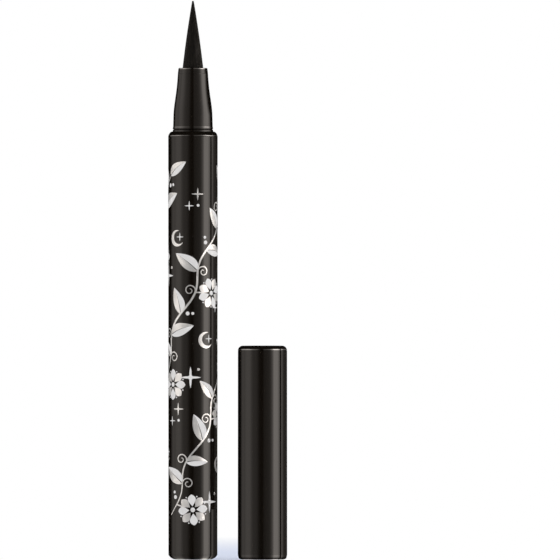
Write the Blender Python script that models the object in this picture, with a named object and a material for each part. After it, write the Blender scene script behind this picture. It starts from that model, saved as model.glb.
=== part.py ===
"""Liquid eyeliner pen, standing on its tail with the nib up, and its cap standing beside it on its mouth.

The pen is of the free-ink kind: the tail half of the barrel is the ink tank, with a steel ball to stir it,
and a finned collector behind the nozzle holds back what the tank gives off when it warms up. A fibre rod
carries the ink through the collector to the felt nib. The cap holds a sprung inner cap that seals the nozzle.

Metres, +Z up. The origin is the centre of the pen's foot, and the cap stands at +X from it.
"""

import math

import bmesh
import bpy

MM = 0.001

# Facets of the turned pieces, and the points on a rounded edge
SHELL_FACETS = 32
CORE_FACETS = 24
EDGE_STEPS = 4
CURVE_STEPS = 9
SHARP_ANGLE = math.radians(32)
MERGE_DISTANCE = 0.0001 * MM

# Clearances
SLIP = 0.05 * MM
SEAT = 0.05 * MM
RUNNING = 0.10 * MM
OVERRUN = 0.5 * MM

# Barrel
BARREL_LENGTH = 89.75 * MM
BARREL_TAIL_RADIUS = 5.195 * MM
BARREL_TAPER = 0.055 * MM
BARREL_TAIL_CHAMFER = 0.05 * MM
SHOULDER_ROUND_WIDTH = 0.80 * MM
SHOULDER_ROUND_HEIGHT = 0.57 * MM
TANK_WALL = 1.295 * MM
FRONT_WALL = 1.0 * MM
FRONT_BORE_DEPTH = 24.0 * MM
BORE_CHAMFER = 0.06 * MM

# End plug
PLUG_HEAD_HEIGHT = 1.10 * MM
PLUG_FOOT_ROUND = 1.57 * MM
PLUG_SPIGOT_LENGTH = 6.0 * MM
PLUG_SPIGOT_WAIST = 0.20 * MM
PLUG_RIB_HEIGHT = 0.70 * MM
PLUG_RIBS = 2
PLUG_CUP_WALL = 0.95 * MM
PLUG_CUP_DEPTH = 3.60 * MM
PLUG_CUP_SLOPE = 0.45 * MM

# Stirring ball
BALL_ROOM = 0.70 * MM
BALL_RINGS = 12

# Nozzle
RING_CLEARANCE = 0.04 * MM
RING_HEIGHT = 3.30 * MM
FLARE_HEIGHT = 8.95 * MM
FLARE_DRAW = 1.0 * MM
FLARE_TOP_WALL = 0.41 * MM
FLARE_EASE_SHARES = ((0.0, 0.0), (0.50, 0.25), (0.70, 1.0), (1.0, 1.0))
SNAP_GROOVE_HEIGHT = 0.34 * MM
SNAP_GROOVE_WIDTH = 0.22 * MM
SNAP_GROOVE_DEPTH = 0.08 * MM
SPIGOT_LENGTH = 8.0 * MM
SPIGOT_WALL = 0.70 * MM
SPIGOT_BEAD_DEPTH = 4.0 * MM
SPIGOT_BEAD_WIDTH = 0.80 * MM
SPIGOT_BEAD_PROUD = 0.12 * MM
COMB_CHAMBER_ABOVE_SHOULDER = 0.30 * MM

# Nib collar
COLLAR_HEIGHT = 1.20 * MM
COLLAR_DRAFT = 0.12 * MM
COLLAR_SLEEVE_WALL = 0.50 * MM
COLLAR_EDGE_ROUND = 0.12 * MM
COLLAR_MOUTH_STEP = 0.30 * MM
COLLAR_MOUTH_DEPTH = 1.0 * MM
COLLAR_TAIL_ROOM = 1.6 * MM
COLLAR_CHANNELS = 6
COLLAR_CHANNEL_WIDTH = 0.80 * MM
COLLAR_CHANNEL_DEPTH = 0.20 * MM

# Nib
NIB_SHOWN = 14.3 * MM
NIB_TIP_RADIUS = 0.20 * MM
NIB_BULGE = 0.04 * MM
NIB_TAIL_INSET = 0.20 * MM
NIB_TAIL_CHAMFER = 0.30 * MM
NIB_TIP_STEPS = 3

# Feed rod
FEED_RADIUS = 0.95 * MM
FEED_CHAMFER = 0.20 * MM
FEED_RECESS = 0.30 * MM

# Collector
COLLECTOR_TUBE_WALL = 0.70 * MM
COLLECTOR_SEAL_WALL = 0.75 * MM
COLLECTOR_GUARD_LENGTH = 4.5 * MM
COLLECTOR_NOSE_GAP = 0.30 * MM
FIN_THICKNESS = 0.45 * MM
FIN_GAP = 0.70 * MM
FIN_CLEARANCE = 0.12 * MM
INK_SLIT_WIDTH = 0.30 * MM
AIR_NOTCH_WIDTH = 1.30 * MM
AIR_NOTCH_DEPTH = 0.80 * MM

# Collector seal
SEAL_CORD_RADIUS = 0.40 * MM
SEAL_CORD_FACETS = 8

# Cap shell
CAP_STAND_X = 14.78 * MM
CAP_LENGTH = 45.4 * MM
CAP_WALL = 0.92 * MM
CAP_TAPER = 0.02 * MM
CAP_MOUTH_ROUND = 0.45 * MM
CAP_MOUTH_LEAD = 0.15 * MM
CAP_BORE_CLEARANCE = 0.17 * MM
CAP_SNAP_BITE = 0.05 * MM
CAP_SNAP_WIDTH = 0.30 * MM
CAP_LEDGE_HEIGHT = 1.0 * MM

# Cap crown
CROWN_HEIGHT = 1.0 * MM
CROWN_ROUND_WIDTH = 1.0 * MM
CROWN_ROUND_HEIGHT = 0.72 * MM
CROWN_WEB = 0.40 * MM
CROWN_SPIGOT_LENGTH = 3.4 * MM
CROWN_SPIGOT_WALL = 0.70 * MM
CROWN_BOSS_LENGTH = 2.4 * MM

# Inner cap
INNER_CAP_LIP_WALL = 0.32 * MM
INNER_CAP_SEAL_CLEARANCE = 0.07 * MM
INNER_CAP_SEAL_DEPTH = 2.95 * MM
INNER_CAP_SEAL_OVERLAP = 0.80 * MM
INNER_CAP_PUSH_BACK = 1.0 * MM
INNER_CAP_WALL = 0.60 * MM
INNER_CAP_TIP_ROOM = 2.0 * MM
INNER_CAP_END_WALL = 1.2 * MM
INNER_CAP_SHOULDER_ROUND = 0.50 * MM
INNER_CAP_FLANGE_UP = 6.5 * MM
INNER_CAP_FLANGE_HEIGHT = 0.80 * MM
INNER_CAP_FLANGE_REACH = 0.60 * MM
INNER_CAP_SPRING_SHELF = 1.30 * MM
INNER_CAP_BOSS_HEIGHT = 1.2 * MM
FLANGE_NOTCHES = 3
FLANGE_NOTCH_WIDTH = 1.4 * MM

# Cap spring
SPRING_WIRE_RADIUS = 0.20 * MM
SPRING_BOSS_CLEARANCE = 0.30 * MM
SPRING_TURNS = 8
SPRING_CLOSED_TURNS = 1
SPRING_CLOSED_GAP = 0.12 * MM
SPRING_TURN_POINTS = 10

# Radii of the pen, from the barrel inwards
BARREL_FRONT_RADIUS = BARREL_TAIL_RADIUS + BARREL_TAPER
TANK_RADIUS = BARREL_TAIL_RADIUS - TANK_WALL
FRONT_BORE_RADIUS = BARREL_FRONT_RADIUS - FRONT_WALL
PLUG_RIB_RADIUS = TANK_RADIUS - SLIP
PLUG_WAIST_RADIUS = PLUG_RIB_RADIUS - PLUG_SPIGOT_WAIST
PLUG_CUP_RADIUS = PLUG_WAIST_RADIUS - PLUG_CUP_WALL
BALL_RADIUS = PLUG_CUP_RADIUS - BALL_ROOM
SPIGOT_RADIUS = FRONT_BORE_RADIUS - SLIP
CHAMBER_RADIUS = SPIGOT_RADIUS - SPIGOT_WALL
RING_RADIUS = FRONT_BORE_RADIUS - RING_CLEARANCE
FLARE_TOP_RADIUS = RING_RADIUS - FLARE_DRAW
NOZZLE_BORE_RADIUS = FLARE_TOP_RADIUS - FLARE_TOP_WALL
COLLAR_TOP_RADIUS = FLARE_TOP_RADIUS - COLLAR_DRAFT
COLLAR_SLEEVE_RADIUS = NOZZLE_BORE_RADIUS - SLIP
COLLAR_GRIP_RADIUS = COLLAR_SLEEVE_RADIUS - COLLAR_SLEEVE_WALL
COLLAR_MOUTH_RADIUS = COLLAR_GRIP_RADIUS + COLLAR_MOUTH_STEP
NIB_RADIUS = COLLAR_GRIP_RADIUS - SLIP

# Radii of the cap, from the nozzle's flare outwards
LIP_RADIUS = FLARE_TOP_RADIUS + INNER_CAP_SEAL_CLEARANCE
SLEEVE_RADIUS = LIP_RADIUS + INNER_CAP_LIP_WALL
INNER_CAP_BORE_RADIUS = SLEEVE_RADIUS - INNER_CAP_WALL
SPRING_BOSS_RADIUS = SLEEVE_RADIUS - INNER_CAP_SHOULDER_ROUND - INNER_CAP_SPRING_SHELF
FLANGE_RADIUS = SLEEVE_RADIUS + INNER_CAP_FLANGE_REACH
CAP_LEDGE_RADIUS = SLEEVE_RADIUS + RUNNING
CAP_UPPER_BORE_RADIUS = FLANGE_RADIUS + RUNNING
CAP_TOP_RADIUS = CAP_UPPER_BORE_RADIUS + CAP_WALL
CAP_MOUTH_RADIUS = CAP_TOP_RADIUS + CAP_TAPER
CAP_BORE_RADIUS = RING_RADIUS + CAP_BORE_CLEARANCE

# Heights up the pen, each from the piece that carries it
BARREL_TAIL_Z = PLUG_HEAD_HEIGHT + SEAT
SHOULDER_Z = BARREL_TAIL_Z + BARREL_LENGTH
LEDGE_Z = SHOULDER_Z - FRONT_BORE_DEPTH
FLARE_Z = SHOULDER_Z + RING_HEIGHT
FLARE_TOP_Z = FLARE_Z + FLARE_HEIGHT
SPIGOT_Z = SHOULDER_Z - SPIGOT_LENGTH
CHAMBER_TOP_Z = SHOULDER_Z + COMB_CHAMBER_ABOVE_SHOULDER
BEAD_Z = SHOULDER_Z - SPIGOT_BEAD_DEPTH
COLLAR_Z = FLARE_TOP_Z + SEAT
MOUTH_Z = COLLAR_Z + COLLAR_HEIGHT
NIB_TIP_Z = MOUTH_Z + NIB_SHOWN
COLLAR_TAIL_Z = CHAMBER_TOP_Z + COLLAR_TAIL_ROOM
NIB_TAIL_Z = COLLAR_TAIL_Z + NIB_TAIL_INSET
SPIGOT_TIP_Z = BARREL_TAIL_Z + PLUG_SPIGOT_LENGTH
CUP_FLOOR_Z = SPIGOT_TIP_Z - PLUG_CUP_DEPTH

# Collector sizes from the bores that hold it
COLLECTOR_Z = LEDGE_Z + SEAT
FEED_BORE_RADIUS = FEED_RADIUS + SLIP
COLLECTOR_TUBE_RADIUS = FEED_BORE_RADIUS + COLLECTOR_TUBE_WALL
COLLECTOR_SEAL_RADIUS = FRONT_BORE_RADIUS - SLIP
SEAL_GROOVE_HEIGHT = 2 * (SEAL_CORD_RADIUS + SEAT)
SEAL_GROOVE_RADIUS = FRONT_BORE_RADIUS - 2 * SLIP - 2 * SEAL_CORD_RADIUS
COMB_Z = COLLECTOR_Z + 2 * COLLECTOR_SEAL_WALL + SEAL_GROOVE_HEIGHT
FIN_PITCH = FIN_THICKNESS + FIN_GAP
FEED_TAIL_Z = COLLECTOR_Z - COLLECTOR_GUARD_LENGTH + FEED_RECESS
FEED_TOP_Z = NIB_TAIL_Z - SEAT

# Heights up the cap, from its mouth
CROWN_Z = CAP_LENGTH - CROWN_HEIGHT
CAP_SHELL_TOP_Z = CROWN_Z - SEAT
CAP_SNAP_Z = SNAP_GROOVE_HEIGHT + SNAP_GROOVE_WIDTH / 2
NOZZLE_SHOWN = MOUTH_Z - SHOULDER_Z
LIP_Z = NOZZLE_SHOWN - COLLAR_HEIGHT - INNER_CAP_SEAL_OVERLAP - INNER_CAP_PUSH_BACK
FLANGE_Z = LIP_Z + INNER_CAP_FLANGE_UP
CAP_LEDGE_TOP_Z = FLANGE_Z - SEAT
INNER_CAP_ROOF_Z = NOZZLE_SHOWN + NIB_SHOWN + INNER_CAP_TIP_ROOM
INNER_CAP_TOP_Z = INNER_CAP_ROOF_Z + INNER_CAP_END_WALL
CROWN_FLOOR_Z = CROWN_Z - CROWN_WEB


def clear_scene():
    for thing in list(bpy.data.objects):
        bpy.data.objects.remove(thing, do_unlink=True)


def finish(name, colour, roughness, metallic=0.0):
    """A Principled material of one colour."""
    material = bpy.data.materials.new(name)
    material.use_nodes = True
    shader = material.node_tree.nodes["Principled BSDF"]
    shader.inputs["Base Color"].default_value = (*colour, 1.0)
    shader.inputs["Roughness"].default_value = roughness
    shader.inputs["Metallic"].default_value = metallic
    material.diffuse_color = (*colour, 1.0)
    return material


def round_edge(centre, width, height, start, end):
    """Points (radius, height) of an elliptical edge round, from one angle to another in degrees."""
    radius, level = centre
    points = []
    for step in range(EDGE_STEPS + 1):
        angle = math.radians(start + (end - start) * step / EDGE_STEPS)
        points.append((radius + width * math.cos(angle), level + height * math.sin(angle)))
    return points


def eased_rise(shares, along):
    """Cubic Bezier through four share points: returns (share of the way, share of the rise)."""
    back = 1.0 - along
    weights = (back**3, 3 * back**2 * along, 3 * back * along**2, along**3)
    way = sum(weight * point[0] for weight, point in zip(weights, shares))
    rise = sum(weight * point[1] for weight, point in zip(weights, shares))
    return way, rise


def bead(radius, level, width, proud):
    """A rounded ring bead, or with a negative height a groove, on a wall that runs upwards."""
    half = width / 2
    quarter = width / 4
    return [
        (radius, level - half),
        (radius + proud, level - quarter),
        (radius + proud, level + quarter),
        (radius, level + half),
    ]


def empty(name, location, parent=None):
    marker = bpy.data.objects.new(name, None)
    marker.location = location
    marker.parent = parent
    bpy.context.scene.collection.objects.link(marker)
    return marker


def add_mesh(name, shape, material, parent, location=(0, 0, 0)):
    """Makes an object of a bmesh, shaded smooth with crisp edges."""
    bmesh.ops.recalc_face_normals(shape, faces=shape.faces)
    mesh = bpy.data.meshes.new(name)
    shape.to_mesh(mesh)
    shape.free()
    mesh.shade_smooth()
    mesh.set_sharp_from_angle(angle=SHARP_ANGLE)
    piece = bpy.data.objects.new(name, mesh)
    if material:
        mesh.materials.append(material)
    piece.parent = parent
    piece.location = location
    bpy.context.scene.collection.objects.link(piece)
    return piece


def spun(profile, facets):
    """Spins a profile of (radius, height) about Z: a loop, or a line with both ends on the axis."""
    shape = bmesh.new()
    corners = [shape.verts.new((radius, 0, level)) for radius, level in profile]
    edges = [shape.edges.new(pair) for pair in zip(corners, corners[1:])]
    if profile[0][0] > 0:
        edges.append(shape.edges.new((corners[-1], corners[0])))
    bmesh.ops.spin(
        shape,
        geom=corners + edges,
        cent=(0, 0, 0),
        axis=(0, 0, 1),
        dvec=(0, 0, 0),
        angle=math.tau,
        steps=facets,
        use_merge=True,
        use_duplicate=False,
    )
    bmesh.ops.remove_doubles(shape, verts=shape.verts, dist=MERGE_DISTANCE)
    return shape


def turned(name, profile, material, parent, facets=SHELL_FACETS):
    return add_mesh(name, spun(profile, facets), material, parent)


def bars(name, sizes, parent):
    """A cutter of upright bars, each given by its angle, inner and outer radius, width, bottom and top."""
    shape = bmesh.new()
    for angle, inner, outer, width, bottom, top in sizes:
        out_x, out_y = math.cos(angle), math.sin(angle)
        corners = []
        for radius, side in ((inner, -1), (outer, -1), (outer, 1), (inner, 1)):
            across = side * width / 2
            corners.append((radius * out_x - across * out_y, radius * out_y + across * out_x))
        low = [shape.verts.new((x, y, bottom)) for x, y in corners]
        high = [shape.verts.new((x, y, top)) for x, y in corners]
        shape.faces.new(low[::-1])
        shape.faces.new(high)
        for here in range(len(corners)):
            after = (here + 1) % len(corners)
            shape.faces.new((low[here], low[after], high[after], high[here]))
    cutter = add_mesh(name, shape, None, parent)
    cutter.hide_render = True
    cutter.display_type = "WIRE"
    return cutter


def cut(piece, cutter):
    modifier = piece.modifiers.new(cutter.name, "BOOLEAN")
    modifier.operation = "DIFFERENCE"
    modifier.solver = "EXACT"
    modifier.object = cutter


def make_barrel(material, parent):
    """A tapered tube: ink tank in the tail, a wider bore in front, a rounded shoulder at the nozzle."""
    shoulder = (BARREL_FRONT_RADIUS - SHOULDER_ROUND_WIDTH, SHOULDER_Z - SHOULDER_ROUND_HEIGHT)
    groove_radius = FRONT_BORE_RADIUS + SPIGOT_BEAD_PROUD
    half = SPIGOT_BEAD_WIDTH / 2 + RUNNING
    profile = [
        (TANK_RADIUS + BARREL_TAIL_CHAMFER, BARREL_TAIL_Z),
        (BARREL_TAIL_RADIUS - BARREL_TAIL_CHAMFER, BARREL_TAIL_Z),
        (BARREL_TAIL_RADIUS, BARREL_TAIL_Z + BARREL_TAIL_CHAMFER),
        *round_edge(shoulder, SHOULDER_ROUND_WIDTH, SHOULDER_ROUND_HEIGHT, 0, 90),
        (FRONT_BORE_RADIUS + BORE_CHAMFER, SHOULDER_Z),
        (FRONT_BORE_RADIUS, SHOULDER_Z - BORE_CHAMFER),
        (FRONT_BORE_RADIUS, BEAD_Z + half),
        (groove_radius, BEAD_Z + half - SPIGOT_BEAD_PROUD),
        (groove_radius, BEAD_Z - half + SPIGOT_BEAD_PROUD),
        (FRONT_BORE_RADIUS, BEAD_Z - half),
        (FRONT_BORE_RADIUS, LEDGE_Z),
        (TANK_RADIUS, LEDGE_Z),
        (TANK_RADIUS, BARREL_TAIL_Z + BARREL_TAIL_CHAMFER),
    ]
    return turned("barrel", profile, material, parent)


def make_end_plug(material, parent):
    """The rounded tail button, with a ribbed spigot that stops the tank and a cup that catches the ball."""
    foot = (BARREL_TAIL_RADIUS - PLUG_FOOT_ROUND, PLUG_HEAD_HEIGHT)
    rib_pitch = PLUG_SPIGOT_LENGTH / (PLUG_RIBS + 1)
    profile = [(0, 0), *round_edge(foot, PLUG_FOOT_ROUND, PLUG_HEAD_HEIGHT, -90, 0)]
    profile.append((PLUG_WAIST_RADIUS, PLUG_HEAD_HEIGHT))
    for rib in range(PLUG_RIBS):
        level = BARREL_TAIL_Z + (rib + 1) * rib_pitch
        profile += bead(PLUG_WAIST_RADIUS, level, PLUG_RIB_HEIGHT, PLUG_SPIGOT_WAIST)
    profile += [
        (PLUG_WAIST_RADIUS, SPIGOT_TIP_Z - PLUG_SPIGOT_WAIST),
        (PLUG_WAIST_RADIUS - PLUG_SPIGOT_WAIST, SPIGOT_TIP_Z),
        (PLUG_CUP_RADIUS, SPIGOT_TIP_Z),
        (PLUG_CUP_RADIUS, CUP_FLOOR_Z + PLUG_CUP_SLOPE),
        (0, CUP_FLOOR_Z),
    ]
    return turned("end_plug", profile, material, parent)


def make_ball(material, parent):
    """The stirring ball, at rest in the plug's cup, with its origin at its centre."""
    floor_slope = math.atan2(PLUG_CUP_SLOPE, PLUG_CUP_RADIUS)
    centre_z = CUP_FLOOR_Z + (BALL_RADIUS + SEAT) / math.cos(floor_slope)
    profile = []
    for ring in range(BALL_RINGS + 1):
        angle = math.pi * ring / BALL_RINGS
        profile.append((BALL_RADIUS * math.sin(angle), -BALL_RADIUS * math.cos(angle)))
    profile[0] = (0, -BALL_RADIUS)
    profile[-1] = (0, BALL_RADIUS)
    return add_mesh("stirring_ball", spun(profile, CORE_FACETS), material, parent, (0, 0, centre_z))


def flare_points():
    """The nozzle's outline from its straight ring up to the collar, as one eased curve."""
    points = []
    for step in range(1, CURVE_STEPS):
        way, rise = eased_rise(FLARE_EASE_SHARES, 1 - step / CURVE_STEPS)
        radius = FLARE_TOP_RADIUS + (RING_RADIUS - FLARE_TOP_RADIUS) * rise
        points.append((radius, FLARE_TOP_Z - FLARE_HEIGHT * way))
    return points


def make_nozzle(material, parent):
    """The front section: a spigot with a snap bead, a straight ring with the cap's groove, a slim flare."""
    groove_z = SHOULDER_Z + CAP_SNAP_Z
    profile = [
        (CHAMBER_RADIUS, SPIGOT_Z),
        (SPIGOT_RADIUS - BORE_CHAMFER, SPIGOT_Z),
        (SPIGOT_RADIUS, SPIGOT_Z + BORE_CHAMFER),
        *bead(SPIGOT_RADIUS, BEAD_Z, SPIGOT_BEAD_WIDTH, SPIGOT_BEAD_PROUD),
        (SPIGOT_RADIUS, SHOULDER_Z),
        *bead(RING_RADIUS, groove_z, SNAP_GROOVE_WIDTH, -SNAP_GROOVE_DEPTH),
        (RING_RADIUS, FLARE_Z),
        *flare_points(),
        (FLARE_TOP_RADIUS, FLARE_TOP_Z),
        (NOZZLE_BORE_RADIUS, FLARE_TOP_Z),
        (NOZZLE_BORE_RADIUS, CHAMBER_TOP_Z),
        (CHAMBER_RADIUS, CHAMBER_TOP_Z),
    ]
    return turned("nozzle", profile, material, parent)


def make_nib_collar(material, parent):
    """The ring at the nozzle's mouth, on a sleeve whose air channels leave ribs that grip the nib."""
    edge = (COLLAR_TOP_RADIUS - COLLAR_EDGE_ROUND, MOUTH_Z - COLLAR_EDGE_ROUND)
    profile = [
        (COLLAR_GRIP_RADIUS, COLLAR_TAIL_Z),
        (COLLAR_SLEEVE_RADIUS, COLLAR_TAIL_Z),
        (COLLAR_SLEEVE_RADIUS, COLLAR_Z),
        (FLARE_TOP_RADIUS, COLLAR_Z),
        *round_edge(edge, COLLAR_EDGE_ROUND, COLLAR_EDGE_ROUND, 0, 90),
        (COLLAR_MOUTH_RADIUS, MOUTH_Z),
        (COLLAR_MOUTH_RADIUS, MOUTH_Z - COLLAR_MOUTH_DEPTH),
        (COLLAR_GRIP_RADIUS, MOUTH_Z - COLLAR_MOUTH_DEPTH),
    ]
    collar = turned("nib_collar", profile, material, parent)
    inner = COLLAR_GRIP_RADIUS - COLLAR_CHANNEL_DEPTH
    outer = COLLAR_GRIP_RADIUS + COLLAR_CHANNEL_DEPTH
    bottom = COLLAR_TAIL_Z - OVERRUN
    top = MOUTH_Z - COLLAR_MOUTH_DEPTH / 2
    sizes = [
        (math.tau * channel / COLLAR_CHANNELS, inner, outer, COLLAR_CHANNEL_WIDTH, bottom, top)
        for channel in range(COLLAR_CHANNELS)
    ]
    cut(collar, bars("nib_collar_channels", sizes, parent))
    return collar


def make_nib(material, parent):
    """A felt point ground to a slim cone with the least swell, on a straight shank."""
    profile = [
        (0, NIB_TAIL_Z),
        (NIB_RADIUS - NIB_TAIL_CHAMFER, NIB_TAIL_Z),
        (NIB_RADIUS, NIB_TAIL_Z + NIB_TAIL_CHAMFER),
    ]
    tip_centre_z = NIB_TIP_Z - NIB_TIP_RADIUS
    for step in range(CURVE_STEPS):
        along = step / CURVE_STEPS
        cone = NIB_RADIUS + (NIB_TIP_RADIUS - NIB_RADIUS) * along
        swell = 4 * NIB_BULGE * along * (1 - along)
        profile.append((cone + swell, MOUTH_Z + (tip_centre_z - MOUTH_Z) * along))
    for step in range(NIB_TIP_STEPS):
        angle = math.pi / 2 * step / NIB_TIP_STEPS
        profile.append((NIB_TIP_RADIUS * math.cos(angle), tip_centre_z + NIB_TIP_RADIUS * math.sin(angle)))
    profile.append((0, NIB_TIP_Z))
    return turned("nib", profile, material, parent, CORE_FACETS)


def make_feed_rod(material, parent):
    """The fibre rod that draws ink from the tank, through the collector, to the nib's tail."""
    profile = [
        (0, FEED_TAIL_Z),
        (FEED_RADIUS - FEED_CHAMFER, FEED_TAIL_Z),
        (FEED_RADIUS, FEED_TAIL_Z + FEED_CHAMFER),
        (FEED_RADIUS, FEED_TOP_Z - FEED_CHAMFER),
        (FEED_RADIUS - FEED_CHAMFER, FEED_TOP_Z),
        (0, FEED_TOP_Z),
    ]
    return turned("feed_rod", profile, material, parent, CORE_FACETS)


def comb_points(bottom, top, radius):
    """Fins on the collector's tube, as many as the room between two heights takes, shared out evenly."""
    count = max(1, int((top - bottom) / FIN_PITCH))
    pitch = (top - bottom) / count
    points = []
    for fin in range(count):
        low = bottom + fin * pitch + (pitch - FIN_THICKNESS)
        high = low + FIN_THICKNESS
        points += [
            (COLLECTOR_TUBE_RADIUS, low),
            (radius, low),
            (radius, high),
            (COLLECTOR_TUBE_RADIUS, high),
        ]
    return points


def make_collector(material, parent):
    """The finned ink buffer: a double wall at the tank, wide fins, slim fins in the nozzle, and a nose."""
    comb_radius = FRONT_BORE_RADIUS - FIN_CLEARANCE
    slim_radius = CHAMBER_RADIUS - FIN_CLEARANCE
    slim_z = SPIGOT_Z - SEAT
    nose_z = CHAMBER_TOP_Z - FIN_GAP
    guard_z = COLLECTOR_Z - COLLECTOR_GUARD_LENGTH
    groove_z = COLLECTOR_Z + COLLECTOR_SEAL_WALL
    nose_top_z = NIB_TAIL_Z - COLLECTOR_NOSE_GAP
    profile = [
        (FEED_BORE_RADIUS, guard_z),
        (COLLECTOR_TUBE_RADIUS, guard_z),
        (COLLECTOR_TUBE_RADIUS, COLLECTOR_Z),
        (COLLECTOR_SEAL_RADIUS, COLLECTOR_Z),
        (COLLECTOR_SEAL_RADIUS, groove_z),
        (SEAL_GROOVE_RADIUS, groove_z),
        (SEAL_GROOVE_RADIUS, groove_z + SEAL_GROOVE_HEIGHT),
        (COLLECTOR_SEAL_RADIUS, groove_z + SEAL_GROOVE_HEIGHT),
        (COLLECTOR_SEAL_RADIUS, COMB_Z),
        (COLLECTOR_TUBE_RADIUS, COMB_Z),
        *comb_points(COMB_Z, slim_z, comb_radius),
        *comb_points(slim_z, nose_z, slim_radius),
        (COLLECTOR_TUBE_RADIUS, nose_top_z),
        (FEED_BORE_RADIUS, nose_top_z),
    ]
    collector = turned("collector", profile, material, parent, CORE_FACETS)
    past = comb_radius + OVERRUN
    half_tube = FEED_BORE_RADIUS + COLLECTOR_TUBE_WALL / 2
    low = COMB_Z + FIN_GAP / 2
    high = nose_z + FIN_GAP / 2
    notch_radius = slim_radius - AIR_NOTCH_DEPTH
    slits = [
        (0, half_tube, past, INK_SLIT_WIDTH, low, high),
        (math.pi, notch_radius, past, AIR_NOTCH_WIDTH, low, high),
    ]
    cut(collector, bars("collector_slits", slits, parent))
    return collector


def make_collector_seal(material, parent):
    """The rubber ring in the collector's groove, a turned torus."""
    ring_radius = FRONT_BORE_RADIUS - SLIP - SEAL_CORD_RADIUS
    level = COLLECTOR_Z + COLLECTOR_SEAL_WALL + SEAL_GROOVE_HEIGHT / 2
    profile = []
    for step in range(SEAL_CORD_FACETS):
        angle = math.tau * step / SEAL_CORD_FACETS
        across = SEAL_CORD_RADIUS * math.cos(angle)
        profile.append((ring_radius + across, level + SEAL_CORD_RADIUS * math.sin(angle)))
    return turned("collector_seal", profile, material, parent)


def make_cap_shell(material, parent):
    """The cap's tube: a rounded mouth with a snap bead, and a ledge inside that stops the inner cap."""
    mouth = (CAP_MOUTH_RADIUS - CAP_MOUTH_ROUND, CAP_MOUTH_ROUND)
    snap_proud = CAP_BORE_RADIUS - RING_RADIUS + CAP_SNAP_BITE
    ledge_z = CAP_LEDGE_TOP_Z - CAP_LEDGE_HEIGHT
    ledge_slope = CAP_BORE_RADIUS - CAP_LEDGE_RADIUS
    profile = [
        (CAP_BORE_RADIUS + CAP_MOUTH_LEAD, 0),
        *round_edge(mouth, CAP_MOUTH_ROUND, CAP_MOUTH_ROUND, -90, 0),
        (CAP_TOP_RADIUS, CAP_SHELL_TOP_Z - BORE_CHAMFER),
        (CAP_TOP_RADIUS - BORE_CHAMFER, CAP_SHELL_TOP_Z),
        (CAP_UPPER_BORE_RADIUS, CAP_SHELL_TOP_Z),
        (CAP_UPPER_BORE_RADIUS, CAP_LEDGE_TOP_Z),
        (CAP_LEDGE_RADIUS, CAP_LEDGE_TOP_Z),
        (CAP_LEDGE_RADIUS, ledge_z),
        (CAP_BORE_RADIUS, ledge_z - ledge_slope),
        *bead(CAP_BORE_RADIUS, CAP_SNAP_Z, CAP_SNAP_WIDTH, -snap_proud)[::-1],
        (CAP_BORE_RADIUS, CAP_MOUTH_LEAD),
    ]
    return turned("cap_shell", profile, material, parent)


def make_cap_crown(material, parent):
    """The cap's closed end: a rounded button, a spigot in the shell, a boss that centres the spring."""
    edge = (CAP_TOP_RADIUS - CROWN_ROUND_WIDTH, CAP_LENGTH - CROWN_ROUND_HEIGHT)
    spigot_radius = CAP_UPPER_BORE_RADIUS - SLIP
    spigot_z = CROWN_Z - CROWN_SPIGOT_LENGTH
    hollow_radius = spigot_radius - CROWN_SPIGOT_WALL
    profile = [
        (0, CROWN_FLOOR_Z - CROWN_BOSS_LENGTH),
        (SPRING_BOSS_RADIUS, CROWN_FLOOR_Z - CROWN_BOSS_LENGTH),
        (SPRING_BOSS_RADIUS, CROWN_FLOOR_Z),
        (hollow_radius, CROWN_FLOOR_Z),
        (hollow_radius, spigot_z),
        (spigot_radius - BORE_CHAMFER, spigot_z),
        (spigot_radius, spigot_z + BORE_CHAMFER),
        (spigot_radius, CROWN_Z),
        (CAP_TOP_RADIUS - BORE_CHAMFER, CROWN_Z),
        (CAP_TOP_RADIUS, CROWN_Z + BORE_CHAMFER),
        *round_edge(edge, CROWN_ROUND_WIDTH, CROWN_ROUND_HEIGHT, 0, 90),
        (0, CAP_LENGTH),
    ]
    return turned("cap_crown", profile, material, parent)


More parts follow.
